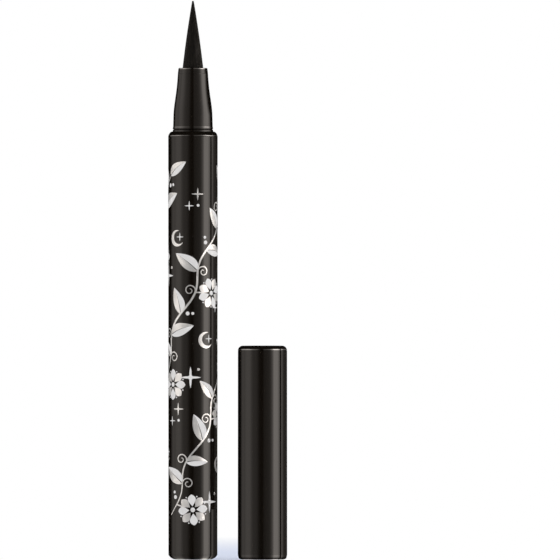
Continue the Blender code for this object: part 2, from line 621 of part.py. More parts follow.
def make_inner_cap(material, parent):
    """The sleeve that closes over the nib: a thin sealing lip, a flange on a ledge, a spring boss."""
    seal_top_z = LIP_Z + INNER_CAP_SEAL_DEPTH
    flange_top_z = FLANGE_Z + INNER_CAP_FLANGE_HEIGHT
    shoulder_radius = SLEEVE_RADIUS - INNER_CAP_SHOULDER_ROUND
    shoulder = (shoulder_radius, INNER_CAP_TOP_Z - INNER_CAP_SHOULDER_ROUND)
    profile = [
        (0, INNER_CAP_ROOF_Z),
        (INNER_CAP_BORE_RADIUS, INNER_CAP_ROOF_Z),
        (INNER_CAP_BORE_RADIUS, seal_top_z),
        (LIP_RADIUS, seal_top_z),
        (LIP_RADIUS, LIP_Z),
        (SLEEVE_RADIUS, LIP_Z),
        (SLEEVE_RADIUS, FLANGE_Z),
        (FLANGE_RADIUS, FLANGE_Z),
        (FLANGE_RADIUS, flange_top_z),
        (SLEEVE_RADIUS, flange_top_z),
        *round_edge(shoulder, INNER_CAP_SHOULDER_ROUND, INNER_CAP_SHOULDER_ROUND, 0, 90),
        (SPRING_BOSS_RADIUS, INNER_CAP_TOP_Z),
        (SPRING_BOSS_RADIUS, INNER_CAP_TOP_Z + INNER_CAP_BOSS_HEIGHT),
        (0, INNER_CAP_TOP_Z + INNER_CAP_BOSS_HEIGHT),
    ]
    inner_cap = turned("inner_cap", profile, material, parent)
    inner = (SLEEVE_RADIUS + FLANGE_RADIUS) / 2
    outer = FLANGE_RADIUS + OVERRUN
    bottom = FLANGE_Z - OVERRUN
    top = flange_top_z + OVERRUN
    sizes = [
        (math.tau * notch / FLANGE_NOTCHES, inner, outer, FLANGE_NOTCH_WIDTH, bottom, top)
        for notch in range(FLANGE_NOTCHES)
    ]
    cut(inner_cap, bars("inner_cap_notches", sizes, parent))
    return inner_cap


def spring_height(turn, wire_pitch, open_pitch):
    """How far up its length a spring's wire is after so many turns, with a closed turn at each end."""
    last_open = SPRING_TURNS - SPRING_CLOSED_TURNS
    closed_low = min(turn, SPRING_CLOSED_TURNS)
    opened = min(max(turn - SPRING_CLOSED_TURNS, 0), last_open - SPRING_CLOSED_TURNS)
    closed_high = max(turn - last_open, 0)
    return (closed_low + closed_high) * wire_pitch + opened * open_pitch


def make_cap_spring(material, parent):
    """The coil spring between the inner cap's shoulder and the crown, one wire with closed end turns."""
    coil_radius = SPRING_BOSS_RADIUS + SPRING_BOSS_CLEARANCE + SPRING_WIRE_RADIUS
    low = INNER_CAP_TOP_Z + SEAT + SPRING_WIRE_RADIUS
    high = CROWN_FLOOR_Z - SEAT - SPRING_WIRE_RADIUS
    wire_pitch = 2 * SPRING_WIRE_RADIUS + SPRING_CLOSED_GAP
    open_turns = SPRING_TURNS - 2 * SPRING_CLOSED_TURNS
    open_pitch = (high - low - 2 * SPRING_CLOSED_TURNS * wire_pitch) / open_turns
    line = bpy.data.curves.new("cap_spring", "CURVE")
    line.dimensions = "3D"
    line.bevel_depth = SPRING_WIRE_RADIUS
    line.bevel_resolution = 1
    line.use_fill_caps = True
    spline = line.splines.new("POLY")
    count = SPRING_TURNS * SPRING_TURN_POINTS + 1
    spline.points.add(count - 1)
    for here in range(count):
        turn = here / SPRING_TURN_POINTS
        angle = math.tau * turn
        level = low + spring_height(turn, wire_pitch, open_pitch)
        place = (coil_radius * math.cos(angle), coil_radius * math.sin(angle), level, 1)
        spline.points[here].co = place
    line.materials.append(material)
    spring = bpy.data.objects.new("cap_spring", line)
    spring.parent = parent
    bpy.context.scene.collection.objects.link(spring)
    return spring


def main():
    clear_scene()
    bpy.context.scene.unit_settings.system = "METRIC"

    gloss_black = finish("gloss_black_plastic", (0.008, 0.006, 0.005), 0.12)
    collar_black = finish("satin_black_plastic", (0.010, 0.009, 0.008), 0.30)
    felt = finish("inked_felt", (0.013, 0.012, 0.013), 0.85)
    fibre = finish("feed_fibre", (0.70, 0.69, 0.66), 0.90)
    milky = finish("milky_plastic", (0.62, 0.63, 0.62), 0.45)
    rubber = finish("seal_rubber", (0.03, 0.03, 0.03), 0.75)
    steel = finish("steel", (0.62, 0.62, 0.64), 0.22, 1.0)

    pen = empty("pen", (0, 0, 0))
    make_barrel(gloss_black, pen)
    make_end_plug(gloss_black, pen)
    make_ball(steel, pen)
    make_nozzle(gloss_black, pen)
    make_nib_collar(collar_black, pen)
    make_nib(felt, pen)
    make_feed_rod(fibre, pen)
    make_collector(milky, pen)
    make_collector_seal(rubber, pen)

    cap = empty("cap", (CAP_STAND_X, 0, 0))
    make_cap_shell(gloss_black, cap)
    make_cap_crown(gloss_black, cap)
    make_cap_spring(steel, cap)
    inner_cap_slide = empty("inner_cap_slide", (0, 0, 0), cap)
    make_inner_cap(milky, inner_cap_slide)


main()
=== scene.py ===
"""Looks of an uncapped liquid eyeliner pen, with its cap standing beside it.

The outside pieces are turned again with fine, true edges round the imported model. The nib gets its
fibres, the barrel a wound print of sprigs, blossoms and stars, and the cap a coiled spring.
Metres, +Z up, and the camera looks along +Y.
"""

import math

import bpy
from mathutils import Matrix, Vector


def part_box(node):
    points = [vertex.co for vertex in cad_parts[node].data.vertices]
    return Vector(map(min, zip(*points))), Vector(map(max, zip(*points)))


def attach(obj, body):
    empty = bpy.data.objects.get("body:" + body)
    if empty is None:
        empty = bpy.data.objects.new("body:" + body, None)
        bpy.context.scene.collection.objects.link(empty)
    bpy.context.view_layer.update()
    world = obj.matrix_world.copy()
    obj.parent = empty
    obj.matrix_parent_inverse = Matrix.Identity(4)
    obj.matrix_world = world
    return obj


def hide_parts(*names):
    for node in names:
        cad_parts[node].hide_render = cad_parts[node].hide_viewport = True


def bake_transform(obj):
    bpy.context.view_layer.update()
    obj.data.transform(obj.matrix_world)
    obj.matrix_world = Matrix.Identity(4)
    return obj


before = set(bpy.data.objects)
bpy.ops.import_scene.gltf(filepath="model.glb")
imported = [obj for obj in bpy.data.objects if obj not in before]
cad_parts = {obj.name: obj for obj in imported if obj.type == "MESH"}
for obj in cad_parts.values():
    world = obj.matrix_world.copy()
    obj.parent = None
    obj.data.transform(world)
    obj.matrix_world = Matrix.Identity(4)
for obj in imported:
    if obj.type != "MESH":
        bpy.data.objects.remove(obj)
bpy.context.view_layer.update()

MM = 0.001

# Fineness of the turned pieces
SIDES = 160
EDGE_STEPS = 8
CURVE_STEPS = 40
GUARD = 0.04 * MM
LONG_RUN = 3 * GUARD
JOIN_DISTANCE = 0.001 * MM
SMOOTH_BELOW = math.radians(24)

# Edges that catch the light: a small break, then a flat that leans, then a roll on to the level top
EDGE_BREAK = 0.10 * MM
CATCH_LEAN = math.radians(17)
LOW_CATCH_LEAN = math.radians(12.8)
STEP_LEAN = math.radians(10.6)
SEAM_BREAK = 0.01 * MM
SEAM_GAP = 0.05 * MM
SEAM_DEPTH = 0.12 * MM
SEAM_REST = 0.004 * MM
CRISP_SHARE = 0.12

# Barrel
TANK_RADIUS = 3.90 * MM
FRONT_BORE_RADIUS = 4.25 * MM
FRONT_BORE_DEPTH = 24.0 * MM
SHOULDER_HEIGHT = 1.08 * MM
SHOULDER_REACH = 0.84 * MM
SHOULDER_BREAK = 0.80 * MM
SHOULDER_LEAN = math.radians(20)

# End plug
PLUG_HEAD_HEIGHT = 1.10 * MM
PLUG_FOOT_REACH = 1.57 * MM
PLUG_BEVEL_LEAN = math.radians(39)
PLUG_BEVEL_LOW = 0.40 * MM
PLUG_BEVEL_HIGH = 0.90 * MM
PLUG_UNDER_LEAN = math.radians(58)
PLUG_SPIGOT_RADIUS = 3.85 * MM
PLUG_SPIGOT_WAIST = 0.20 * MM
PLUG_RIB_HEIGHT = 0.70 * MM
PLUG_RIB_SHARES = (1 / 3, 2 / 3)
PLUG_CUP_RADIUS = 2.70 * MM
PLUG_CUP_DEPTH = 3.60 * MM
PLUG_CUP_SLOPE = 0.45 * MM

# Nozzle
RING_RADIUS = 4.18 * MM
RING_HEIGHT = 3.30 * MM
RING_DRAFT = 0.08 * MM
SPIGOT_RADIUS = 4.20 * MM
CHAMBER_RADIUS = 3.50 * MM
CHAMBER_ABOVE_SHOULDER = 0.30 * MM
FLARE_TOP_WALL = 0.41 * MM
# The flare's curve: shares of its way down and of its rise
FLARE_EASE_SHARES = ((0.0, 0.0), (0.50, 0.25), (0.70, 0.93), (1.0, 1.0))
SNAP_GROOVE_HEIGHT = 0.42 * MM
SNAP_GROOVE_WIDTH = 0.22 * MM
SNAP_GROOVE_DEPTH = 0.13 * MM
RING_STEP_HEIGHT = 0.74 * MM
RING_STEP_RISE = 0.36 * MM

# Nib collar
COLLAR_HEIGHT = 1.20 * MM
COLLAR_DRAFT = 0.12 * MM
COLLAR_CATCH_HEIGHT = 0.245 * MM
COLLAR_CATCH = 0.14 * MM
COLLAR_ROLL_REACH = 0.18 * MM
COLLAR_GRIP_RADIUS = 2.25 * MM
COLLAR_SLEEVE_WALL = 0.50 * MM
COLLAR_MOUTH_STEP = 0.30 * MM
COLLAR_MOUTH_DEPTH = 1.0 * MM
COLLAR_CHANNELS = 6
COLLAR_CHANNEL_WIDTH = 0.80 * MM
COLLAR_CHANNEL_DEPTH = 0.20 * MM

# Nib
NIB_TIP_RADIUS = 0.20 * MM
NIB_BULGE = 0.10 * MM
NIB_TAIL_CHAMFER = 0.30 * MM
FIBRE_DEPTH = 0.022 * MM
FIBRE_COUNTS = (17, 29, 47, 71)
FIBRE_START_TURN = 1.7
FIBRE_SWAY = 0.9
FIBRE_SWAY_TURN = 2.1
FIBRE_SWAY_RATE = 0.31 / MM
FIBRE_SWAY_RATE_STEP = 0.17 / MM
FIBRE_FULL_RADIUS = 4 * NIB_TIP_RADIUS

# Cap
CAP_UPPER_BORE_RADIUS = 4.30 * MM
CAP_BORE_RADIUS = 4.38 * MM
CAP_LEDGE_RADIUS = 3.70 * MM
CAP_LEDGE_TOP = 16.95 * MM
CAP_LEDGE_HEIGHT = 1.0 * MM
CAP_SNAP_PROUD = 0.08 * MM
CAP_MOUTH_LEAD = 0.12 * MM
CAP_TAPER = 0.02 * MM
# The mouth's outer edge as (how far in from the wall, height), in millimetres
CAP_MOUTH_PROFILE = (
    (0.66, 0.0), (0.27, 0.15), (0.20, 0.26), (0.14, 0.38),
    (0.12, 0.46), (0.10, 0.53), (0.075, 0.61), (0.0, 1.03),
)
CROWN_UPRIGHT = 0.09 * MM
CROWN_REACH = 1.05 * MM
CROWN_CATCH = 0.17 * MM
CROWN_SEAM_BREAK = 0.03 * MM
CROWN_WEB = 0.40 * MM
CROWN_SPIGOT_WALL = 0.70 * MM
CROWN_BOSS_SHARE = 2 / 3
SPRING_BOSS_RADIUS = 1.80 * MM

# Inner cap
SLEEVE_WALL = 0.60 * MM
LIP_WALL = 0.32 * MM
LIP_ROUND = 0.12 * MM
SEAL_DEPTH = 2.95 * MM
SHOULDER_ROUND = 0.50 * MM
INNER_END_WALL = 1.2 * MM
INNER_BOSS_HEIGHT = 1.2 * MM
FLANGE_HEIGHT = 0.80 * MM
FLANGE_REACH = 0.60 * MM
FLANGE_NOTCHES = 3
FLANGE_NOTCH_WIDTH = 1.4 * MM

# Spring of the inner cap
SPRING_WIRE_RADIUS = 0.20 * MM
SPRING_TURNS = 8
SPRING_CLOSED_TURNS = 1
SPRING_CLOSED_PITCH = 0.52 * MM
SPRING_TURN_STEPS = 28
SPRING_WIRE_FINENESS = 4

# The black pieces don't mirror each other; these pieces are seen in their gloss
SEEN_IN_GLOSS = ("nozzle", "nib_collar", "nib", "inner_cap")

# Camera
VIEW_WIDTH = 119.0 * MM
VIEW_CENTRE_X = 18.50 * MM
VIEW_CENTRE_Z = 59.36 * MM
LENS_MM = 700
SENSOR_MM = 36


def ends_of(node):
    """The heights of a node's lower and upper end."""
    return (corner.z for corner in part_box(node))


def half_width(node):
    low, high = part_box(node)
    return (high.x - low.x) / 2


def middle_of(node):
    low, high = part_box(node)
    return (high.x + low.x) / 2


def beyond(base, heading, reach, aside=0.0):
    """The place that lies a reach away from a base along a heading, and so far to its left."""
    return (
        base[0] + reach * math.cos(heading) - aside * math.sin(heading),
        base[1] + reach * math.sin(heading) + aside * math.cos(heading),
    )


def arc(centre, width, height, start, end, steps=EDGE_STEPS):
    """Points (radius, level) of an elliptical edge, from one angle to another in radians."""
    points = []
    for step in range(steps + 1):
        angle = start + (end - start) * step / steps
        points.append((centre[0] + width * math.cos(angle), centre[1] + height * math.sin(angle)))
    return points


def rolled_edge(radius, low, top, reach, lean, flat=0.0, ease=EDGE_BREAK):
    """A wall's upper edge: it eases to a lean, runs flat for a way, and rolls in to a level top."""
    points = arc((radius - ease, low), ease, ease, 0, lean)
    across, level = points[-1]
    across -= flat * math.sin(lean)
    level += flat * math.cos(lean)
    inner = radius - reach
    slant = (across - inner) / (top - level)
    start = math.asin(math.tan(lean) / (slant - math.tan(lean)))
    width = (across - inner) / math.cos(start)
    height = (top - level) / (1 - math.sin(start))
    return points + arc((inner, top - height), width, height, start, math.pi / 2, 2 * EDGE_STEPS)


def part_way(start, end, share):
    return tuple(a + (b - a) * share for a, b in zip(start, end))


def crisp(start, end):
    """A short flat between two points that shades as a true flat."""
    return [part_way(start, end, share) for share in (0, CRISP_SHARE, 1 - CRISP_SHARE, 1)]


def bezier(along, ends):
    """A Bezier curve's value for a share of its way."""
    last = len(ends) - 1
    return sum(
        math.comb(last, number) * (1 - along) ** (last - number) * along**number * end
        for number, end in enumerate(ends)
    )


def bump(radius, level, width, proud):
    """A soft ring bead on an upright wall."""
    points = []
    for step in range(EDGE_STEPS + 1):
        along = step / EDGE_STEPS
        rise = proud * (1 - math.cos(math.tau * along)) / 2
        points.append((radius + rise, level + (along - 0.5) * width))
    return points


def seam(inner, outer, rest, seat, edge=SEAM_BREAK, up=1):
    """A sunk land from where a neighbour's end rests on it out to the seat's broken edge."""
    return [
        (inner, rest),
        (outer - SEAM_DEPTH, rest),
        (outer - SEAM_DEPTH, seat),
        (outer - edge, seat),
        (outer, seat + up * edge),
    ]


def guarded(outline):
    """The outline with a point near each end of its long runs, so that they shade as true walls."""
    points = [outline[0]]
    for here, after in zip(outline, outline[1:]):
        length = math.dist(here, after)
        if length > LONG_RUN:
            for share in (GUARD / length, 1 - GUARD / length):
                points.append(part_way(here, after, share))
        points.append(after)
    return points


def select_only(piece):
    bpy.ops.object.select_all(action="DESELECT")
    piece.select_set(True)
    bpy.context.view_layer.objects.active = piece


def edit_all(operator, **settings):
    """Runs an operator on the active piece's whole mesh."""
    bpy.ops.object.mode_set(mode="EDIT")
    bpy.ops.mesh.select_all(action="SELECT")
    operator(**settings)
    bpy.ops.object.mode_set(mode="OBJECT")


def added(operator, **settings):
    """Runs an operator that adds a mesh, and gives its object, the only one selected."""
    bpy.ops.object.select_all(action="DESELECT")
    operator(**settings)
    return bpy.context.object


def modify(piece, kind, **settings):
    """Applies a modifier with its own settings to a piece."""
    select_only(piece)
    modifier = piece.modifiers.new(kind, kind)
    for name, value in settings.items():
        setattr(modifier, name, value)
    bpy.ops.object.modifier_apply(modifier=modifier.name)


def turn(name, outline, middle=0.0, sides=SIDES):
    """Draws an outline of (radius, level) point by point and spins it about an upright axis."""
    outline = guarded(outline)
    start = (middle + outline[0][0], 0, outline[0][1])
    piece = added(bpy.ops.mesh.primitive_plane_add, size=MM, location=start)
    piece.name = piece.data.name = name
    bpy.ops.object.transform_apply()
    bpy.ops.object.mode_set(mode="EDIT")
    bpy.ops.mesh.select_all(action="SELECT")
    bpy.ops.mesh.merge(type="CENTER")
    for here, after in zip(outline, outline[1:]):
        step = (after[0] - here[0], 0, after[1] - here[1])
        bpy.ops.mesh.extrude_region_move(TRANSFORM_OT_translate={"value": step})
    bpy.ops.mesh.select_all(action="SELECT")
    bpy.ops.mesh.spin(steps=sides, angle=math.tau, center=(middle, 0, 0), axis=(0, 0, 1))
    bpy.ops.mesh.select_all(action="SELECT")
    bpy.ops.mesh.remove_doubles(threshold=JOIN_DISTANCE)
    bpy.ops.mesh.normals_make_consistent(inside=False)
    bpy.ops.object.mode_set(mode="OBJECT")
    bpy.ops.object.shade_smooth_by_angle(angle=SMOOTH_BELOW)
    return piece


def cut_slots(piece, count, reaches, width, levels, middle=0.0):
    """Cuts upright slots, spread evenly round the axis, between two radii and two levels."""
    for slot in range(count):
        angle = math.tau * slot / count
        centre = (*beyond((middle, 0), angle, sum(reaches) / 2), sum(levels) / 2)
        turned = (0, 0, angle)
        cutter = added(bpy.ops.mesh.primitive_cube_add, size=1, location=centre, rotation=turned)
        cutter.scale = (reaches[1] - reaches[0], width, levels[1] - levels[0])
        bpy.ops.object.transform_apply()
        modify(piece, "BOOLEAN", object=cutter, operation="DIFFERENCE", solver="EXACT")
        bpy.data.objects.remove(cutter, do_unlink=True)


def make_barrel():
    low, high = ends_of("barrel")
    tail = half_width("end_plug")
    front = half_width("barrel")
    ledge = high - FRONT_BORE_DEPTH
    edge = (high - SHOULDER_HEIGHT, high, SHOULDER_REACH, SHOULDER_LEAN)
    outline = [
        (TANK_RADIUS, low),
        (tail - SEAM_BREAK, low),
        (tail, low + SEAM_BREAK),
        *rolled_edge(front, *edge, ease=SHOULDER_BREAK),
        (FRONT_BORE_RADIUS, high),
        (FRONT_BORE_RADIUS, ledge),
        (TANK_RADIUS, ledge),
        (TANK_RADIUS, low),
    ]
    return turn("barrel_tube", outline)


def make_end_plug():
    low, high = ends_of("end_plug")
    barrel_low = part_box("barrel")[0].z
    tail = half_width("end_plug")
    head = low + PLUG_HEAD_HEIGHT
    waist = PLUG_SPIGOT_RADIUS - PLUG_SPIGOT_WAIST
    cup_floor = high - PLUG_CUP_DEPTH
    ease = (tail - EDGE_BREAK, low + PLUG_BEVEL_HIGH + EDGE_BREAK * math.sin(PLUG_BEVEL_LEAN))
    bevel_high = tail - EDGE_BREAK * (1 - math.cos(PLUG_BEVEL_LEAN))
    bevel_low = bevel_high - (PLUG_BEVEL_HIGH - PLUG_BEVEL_LOW) * math.tan(PLUG_BEVEL_LEAN)
    under = bevel_low - PLUG_BEVEL_LOW * math.tan(PLUG_UNDER_LEAN)
    bends = (tail - PLUG_FOOT_REACH, under, bevel_low)
    outline = [(0, low)]
    for step in range(2 * EDGE_STEPS):
        along = step / (2 * EDGE_STEPS)
        outline.append((bezier(along, bends), low + PLUG_BEVEL_LOW * along**2))
    outline += [
        (bevel_low, low + PLUG_BEVEL_LOW),
        *arc(ease, EDGE_BREAK, EDGE_BREAK, -PLUG_BEVEL_LEAN, 0),
        *seam(waist, tail, barrel_low - SEAM_REST, head, up=-1)[::-1],
    ]
    for share in PLUG_RIB_SHARES:
        outline += bump(waist, head + (high - head) * share, PLUG_RIB_HEIGHT, PLUG_SPIGOT_WAIST)
    outline += [
        (waist, high - PLUG_SPIGOT_WAIST),
        (waist - PLUG_SPIGOT_WAIST, high),
        (PLUG_CUP_RADIUS, high),
        (PLUG_CUP_RADIUS, cup_floor + PLUG_CUP_SLOPE),
        (0, cup_floor),
    ]
    return turn("tail_plug", outline)


def make_nozzle():
    low, high = ends_of("nozzle")
    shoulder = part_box("barrel")[1].z
    top = half_width("nib_collar")
    flare_low = shoulder + RING_HEIGHT
    ring_top = RING_RADIUS - RING_DRAFT / 2
    bore = top - FLARE_TOP_WALL

    def ring_wall(height):
        return ring_top + RING_DRAFT * (1 - height / RING_HEIGHT)

    groove_low = SNAP_GROOVE_HEIGHT - SNAP_GROOVE_WIDTH / 2
    groove_high = SNAP_GROOVE_HEIGHT + SNAP_GROOVE_WIDTH / 2
    step_out = RING_STEP_RISE * math.tan(STEP_LEAN)
    outline = [
        (CHAMBER_RADIUS, low),
        (SPIGOT_RADIUS, low),
        (SPIGOT_RADIUS, shoulder),
        (ring_wall(0) + step_out, shoulder),
        (ring_wall(groove_low) + step_out, shoulder + groove_low),
        (ring_wall(groove_low) - SNAP_GROOVE_DEPTH, shoulder + SNAP_GROOVE_HEIGHT),
        (ring_wall(groove_high) + step_out, shoulder + groove_high),
        *crisp(
            (ring_wall(RING_STEP_HEIGHT) + step_out, shoulder + RING_STEP_HEIGHT),
            (ring_wall(RING_STEP_HEIGHT), shoulder + RING_STEP_HEIGHT + RING_STEP_RISE),
        ),
    ]
    for step in range(CURVE_STEPS + 1):
        way, rise = (bezier(1 - step / CURVE_STEPS, shares) for shares in zip(*FLARE_EASE_SHARES))
        outline.append((top + (ring_top - top) * rise, high - (high - flare_low) * way))
    outline += [
        (bore, high),
        (bore, shoulder + CHAMBER_ABOVE_SHOULDER),
        (CHAMBER_RADIUS, shoulder + CHAMBER_ABOVE_SHOULDER),
        (CHAMBER_RADIUS, low),
    ]
    return turn("nozzle_cone", outline)


def make_nib_collar():
    low, high = ends_of("nib_collar")
    top = half_width("nib_collar")
    seat = high - COLLAR_HEIGHT
    nozzle_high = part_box("nozzle")[1].z
    sleeve = COLLAR_GRIP_RADIUS + COLLAR_SLEEVE_WALL
    mouth = COLLAR_GRIP_RADIUS + COLLAR_MOUTH_STEP
    edge = (high - COLLAR_CATCH_HEIGHT, high, COLLAR_ROLL_REACH, LOW_CATCH_LEAN, COLLAR_CATCH)
    outline = [
        (COLLAR_GRIP_RADIUS, low),
        (sleeve, low),
        *seam(sleeve, top, nozzle_high + SEAM_REST, seat),
        *rolled_edge(top - COLLAR_DRAFT, *edge),
        (mouth, high),
        (mouth, high - COLLAR_MOUTH_DEPTH),
        (COLLAR_GRIP_RADIUS, high - COLLAR_MOUTH_DEPTH),
        (COLLAR_GRIP_RADIUS, low),
    ]
    collar = turn("mouth_ring", outline)
    reaches = (COLLAR_GRIP_RADIUS - COLLAR_CHANNEL_DEPTH, COLLAR_GRIP_RADIUS + COLLAR_CHANNEL_DEPTH)
    levels = (low - COLLAR_CHANNEL_DEPTH, high - COLLAR_MOUTH_DEPTH / 2)
    cut_slots(collar, COLLAR_CHANNELS, reaches, COLLAR_CHANNEL_WIDTH, levels)
    return collar


def fibre_groove(angle, level):
    """How deep the gaps between the nib's fibres are, from 0 to 1: a few waves that sway up it."""
    depth = 0.0
    for order, count in enumerate(FIBRE_COUNTS):
        rate = FIBRE_SWAY_RATE + FIBRE_SWAY_RATE_STEP * order
        sway = math.sin(level * rate + FIBRE_SWAY_TURN * order)
        wave = math.sin(count * angle + FIBRE_START_TURN * order + FIBRE_SWAY * sway)
        depth += (0.5 + 0.5 * wave) ** 2
    return depth / len(FIBRE_COUNTS)


def make_nib():
    low, high = ends_of("nib")
    shank = half_width("nib")
    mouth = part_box("nib_collar")[1].z
    tip_centre = high - NIB_TIP_RADIUS
    outline = [(0, low), (shank - NIB_TAIL_CHAMFER, low), (shank, low + NIB_TAIL_CHAMFER)]
    for step in range(CURVE_STEPS + 1):
        along = step / CURVE_STEPS
        cone = shank + (NIB_TIP_RADIUS - shank) * along
        swell = 4 * NIB_BULGE * along * (1 - along)
        outline.append((cone + swell, mouth + (tip_centre - mouth) * along))
    outline += arc((0, tip_centre), NIB_TIP_RADIUS, NIB_TIP_RADIUS, 0, math.pi / 2)[1:-1]
    outline.append((0, high))
    nib = turn("felt_point", outline, sides=2 * SIDES)
    for corner in nib.data.vertices:
        across = math.hypot(corner.co.x, corner.co.y)
        if corner.co.z > mouth - COLLAR_MOUTH_DEPTH and across > 0:
            groove = fibre_groove(math.atan2(corner.co.y, corner.co.x), corner.co.z)
            groove *= min(1, across / FIBRE_FULL_RADIUS)
            share = 1 - FIBRE_DEPTH * groove / max(across, NIB_TIP_RADIUS)
            corner.co.x *= share
            corner.co.y *= share
    return nib


def make_cap_shell():
    low, high = ends_of("cap_shell")
    middle = middle_of("cap_shell")
    mouth = half_width("cap_shell")
    top = mouth - CAP_TAPER
    ledge_low = CAP_LEDGE_TOP - CAP_LEDGE_HEIGHT
    outline = [
        (CAP_BORE_RADIUS + CAP_MOUTH_LEAD, low),
        *((mouth - inset * MM, low + height * MM) for inset, height in CAP_MOUTH_PROFILE),
        (top, high - SEAM_BREAK),
        (top - SEAM_BREAK, high),
        (CAP_UPPER_BORE_RADIUS, high),
        (CAP_UPPER_BORE_RADIUS, CAP_LEDGE_TOP),
        (CAP_LEDGE_RADIUS, CAP_LEDGE_TOP),
        (CAP_LEDGE_RADIUS, ledge_low),
        (CAP_BORE_RADIUS, ledge_low - (CAP_BORE_RADIUS - CAP_LEDGE_RADIUS)),
        *bump(CAP_BORE_RADIUS, SNAP_GROOVE_HEIGHT, SNAP_GROOVE_WIDTH, -CAP_SNAP_PROUD)[::-1],
        (CAP_BORE_RADIUS, CAP_MOUTH_LEAD),
        (CAP_BORE_RADIUS + CAP_MOUTH_LEAD, low),
    ]
    return turn("cap_tube", outline, middle)


def make_cap_crown():
    low, high = ends_of("cap_crown")
    middle = middle_of("cap_crown")
    top = half_width("cap_crown")
    shell_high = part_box("cap_shell")[1].z
    seat = shell_high + SEAM_GAP
    spigot = CAP_UPPER_BORE_RADIUS - SEAM_GAP
    floor = seat - CROWN_WEB
    hollow = spigot - CROWN_SPIGOT_WALL
    boss_low = floor - (floor - low) * CROWN_BOSS_SHARE
    outline = [
        (0, boss_low),
        (SPRING_BOSS_RADIUS, boss_low),
        (SPRING_BOSS_RADIUS, floor),
        (hollow, floor),
        (hollow, low),
        (spigot, low),
        *seam(spigot, top, shell_high + SEAM_REST, seat, CROWN_SEAM_BREAK),
        *rolled_edge(top, seat + CROWN_UPRIGHT, high, CROWN_REACH, CATCH_LEAN, CROWN_CATCH),
        (0, high),
    ]
    return turn("cap_end", outline, middle)


def make_inner_cap():
    low, high = ends_of("inner_cap")
    middle = middle_of("inner_cap")
    flange = half_width("inner_cap")
    sleeve = flange - FLANGE_REACH
    roof = high - INNER_BOSS_HEIGHT - INNER_END_WALL
    shoulder = high - INNER_BOSS_HEIGHT
    flange_low = CAP_LEDGE_TOP + SEAM_GAP
    lip = sleeve - LIP_WALL / 2
    round_centre = (sleeve - SHOULDER_ROUND, shoulder - SHOULDER_ROUND)
    outline = [
        (0, roof),
        (sleeve - SLEEVE_WALL, roof),
        (sleeve - SLEEVE_WALL, low + SEAL_DEPTH),
        (sleeve - LIP_WALL, low + SEAL_DEPTH),
        *arc((lip, low + LIP_ROUND), LIP_WALL / 2, LIP_ROUND, -math.pi, 0, 2 * EDGE_STEPS),
        (sleeve, flange_low),
        (flange, flange_low),
        (flange, flange_low + FLANGE_HEIGHT),
        (sleeve, flange_low + FLANGE_HEIGHT),
        *arc(round_centre, SHOULDER_ROUND, SHOULDER_ROUND, 0, math.pi / 2),
        (SPRING_BOSS_RADIUS, shoulder),
        (SPRING_BOSS_RADIUS, high),
        (0, high),
    ]
    inner_cap = turn("inner_sleeve", outline, middle)
    reaches = (sleeve + FLANGE_REACH / 2, flange + FLANGE_REACH)
    levels = (flange_low - FLANGE_HEIGHT, flange_low + 2 * FLANGE_HEIGHT)
    cut_slots(inner_cap, FLANGE_NOTCHES, reaches, FLANGE_NOTCH_WIDTH, levels, middle)
    return inner_cap


def make_coil_spring():
    """The spring over the inner cap, one wire with a closed turn at each end."""
    low, high = ends_of("cap_spring")
    middle = middle_of("cap_spring")
    coil_radius = half_width("cap_spring") - SPRING_WIRE_RADIUS
    first = low + SPRING_WIRE_RADIUS
    last_open = SPRING_TURNS - SPRING_CLOSED_TURNS
    open_turns = last_open - SPRING_CLOSED_TURNS
    closed_rise = 2 * (SPRING_WIRE_RADIUS + SPRING_CLOSED_TURNS * SPRING_CLOSED_PITCH)
    open_pitch = (high - low - closed_rise) / open_turns
    line = bpy.data.curves.new("coil_spring", "CURVE")
    line.dimensions = "3D"
    line.bevel_depth = SPRING_WIRE_RADIUS
    line.bevel_resolution = SPRING_WIRE_FINENESS
    line.use_fill_caps = True
    spline = line.splines.new("POLY")
    steps = SPRING_TURNS * SPRING_TURN_STEPS
    spline.points.add(steps)
    for step in range(steps + 1):
        wound = step / SPRING_TURN_STEPS
        closed = min(wound, SPRING_CLOSED_TURNS) + max(wound - last_open, 0)
        level = first + closed * SPRING_CLOSED_PITCH + (wound - closed) * open_pitch
        across, deep = beyond((middle, 0), math.tau * wound, coil_radius)
        spline.points[step].co = (across, deep, level, 1)
    spring = bpy.data.objects.new("coil_spring", line)
    bpy.context.scene.collection.objects.link(spring)
    select_only(spring)
    bpy.ops.object.convert(target="MESH")
    bpy.ops.object.shade_smooth_by_angle(angle=SMOOTH_BELOW)
    return bpy.context.object


# The print is laid out flat: across is the way round the barrel from the front, up is the height
PRINT_LOW = 9.5 * MM
PRINT_HIGH = 81.5 * MM
PRINT_RADIUS = 5.22 * MM
PRINT_SUNK = 0.008 * MM
PRINT_THICKNESS = 0.024 * MM
PRINT_ROUND = math.tau * PRINT_RADIUS
VINES = 2
VINE_TURNS = 1.0
VINE_START_SHARE = -0.17
VINE_WAVE = 1.0 * MM
VINE_WAVES = 5
VINE_STEP = 0.001
STEM_WIDTH = 0.42 * MM
STEM_THINNING = 0.6
STEM_STEPS = 260
STALK_WIDTH = 0.26 * MM
STALK_STEPS = 6
PATH_STEP = 0.002
SPRIGS = 16
BLOSSOM_EVERY = 4
LEAF_LENGTH = 6.2 * MM
LEAF_WIDTH = 1.45 * MM
LEAF_GAP = 0.09 * MM
LEAF_LEAN = math.radians(48)
LEAF_CURL = 1.1 * MM
LEAF_STEPS = 20
LEAF_SKEW = 0.80
LEAF_FULLNESS = 0.85
LEAF_MEAN_SHARE = 0.88
LEAF_DRIFT_SHARE = 0.12
LEAF_DRIFT_TURN = 2.3
LAST_LEAF_SHARE = 0.8
BLOSSOM_STALK = 3.9 * MM
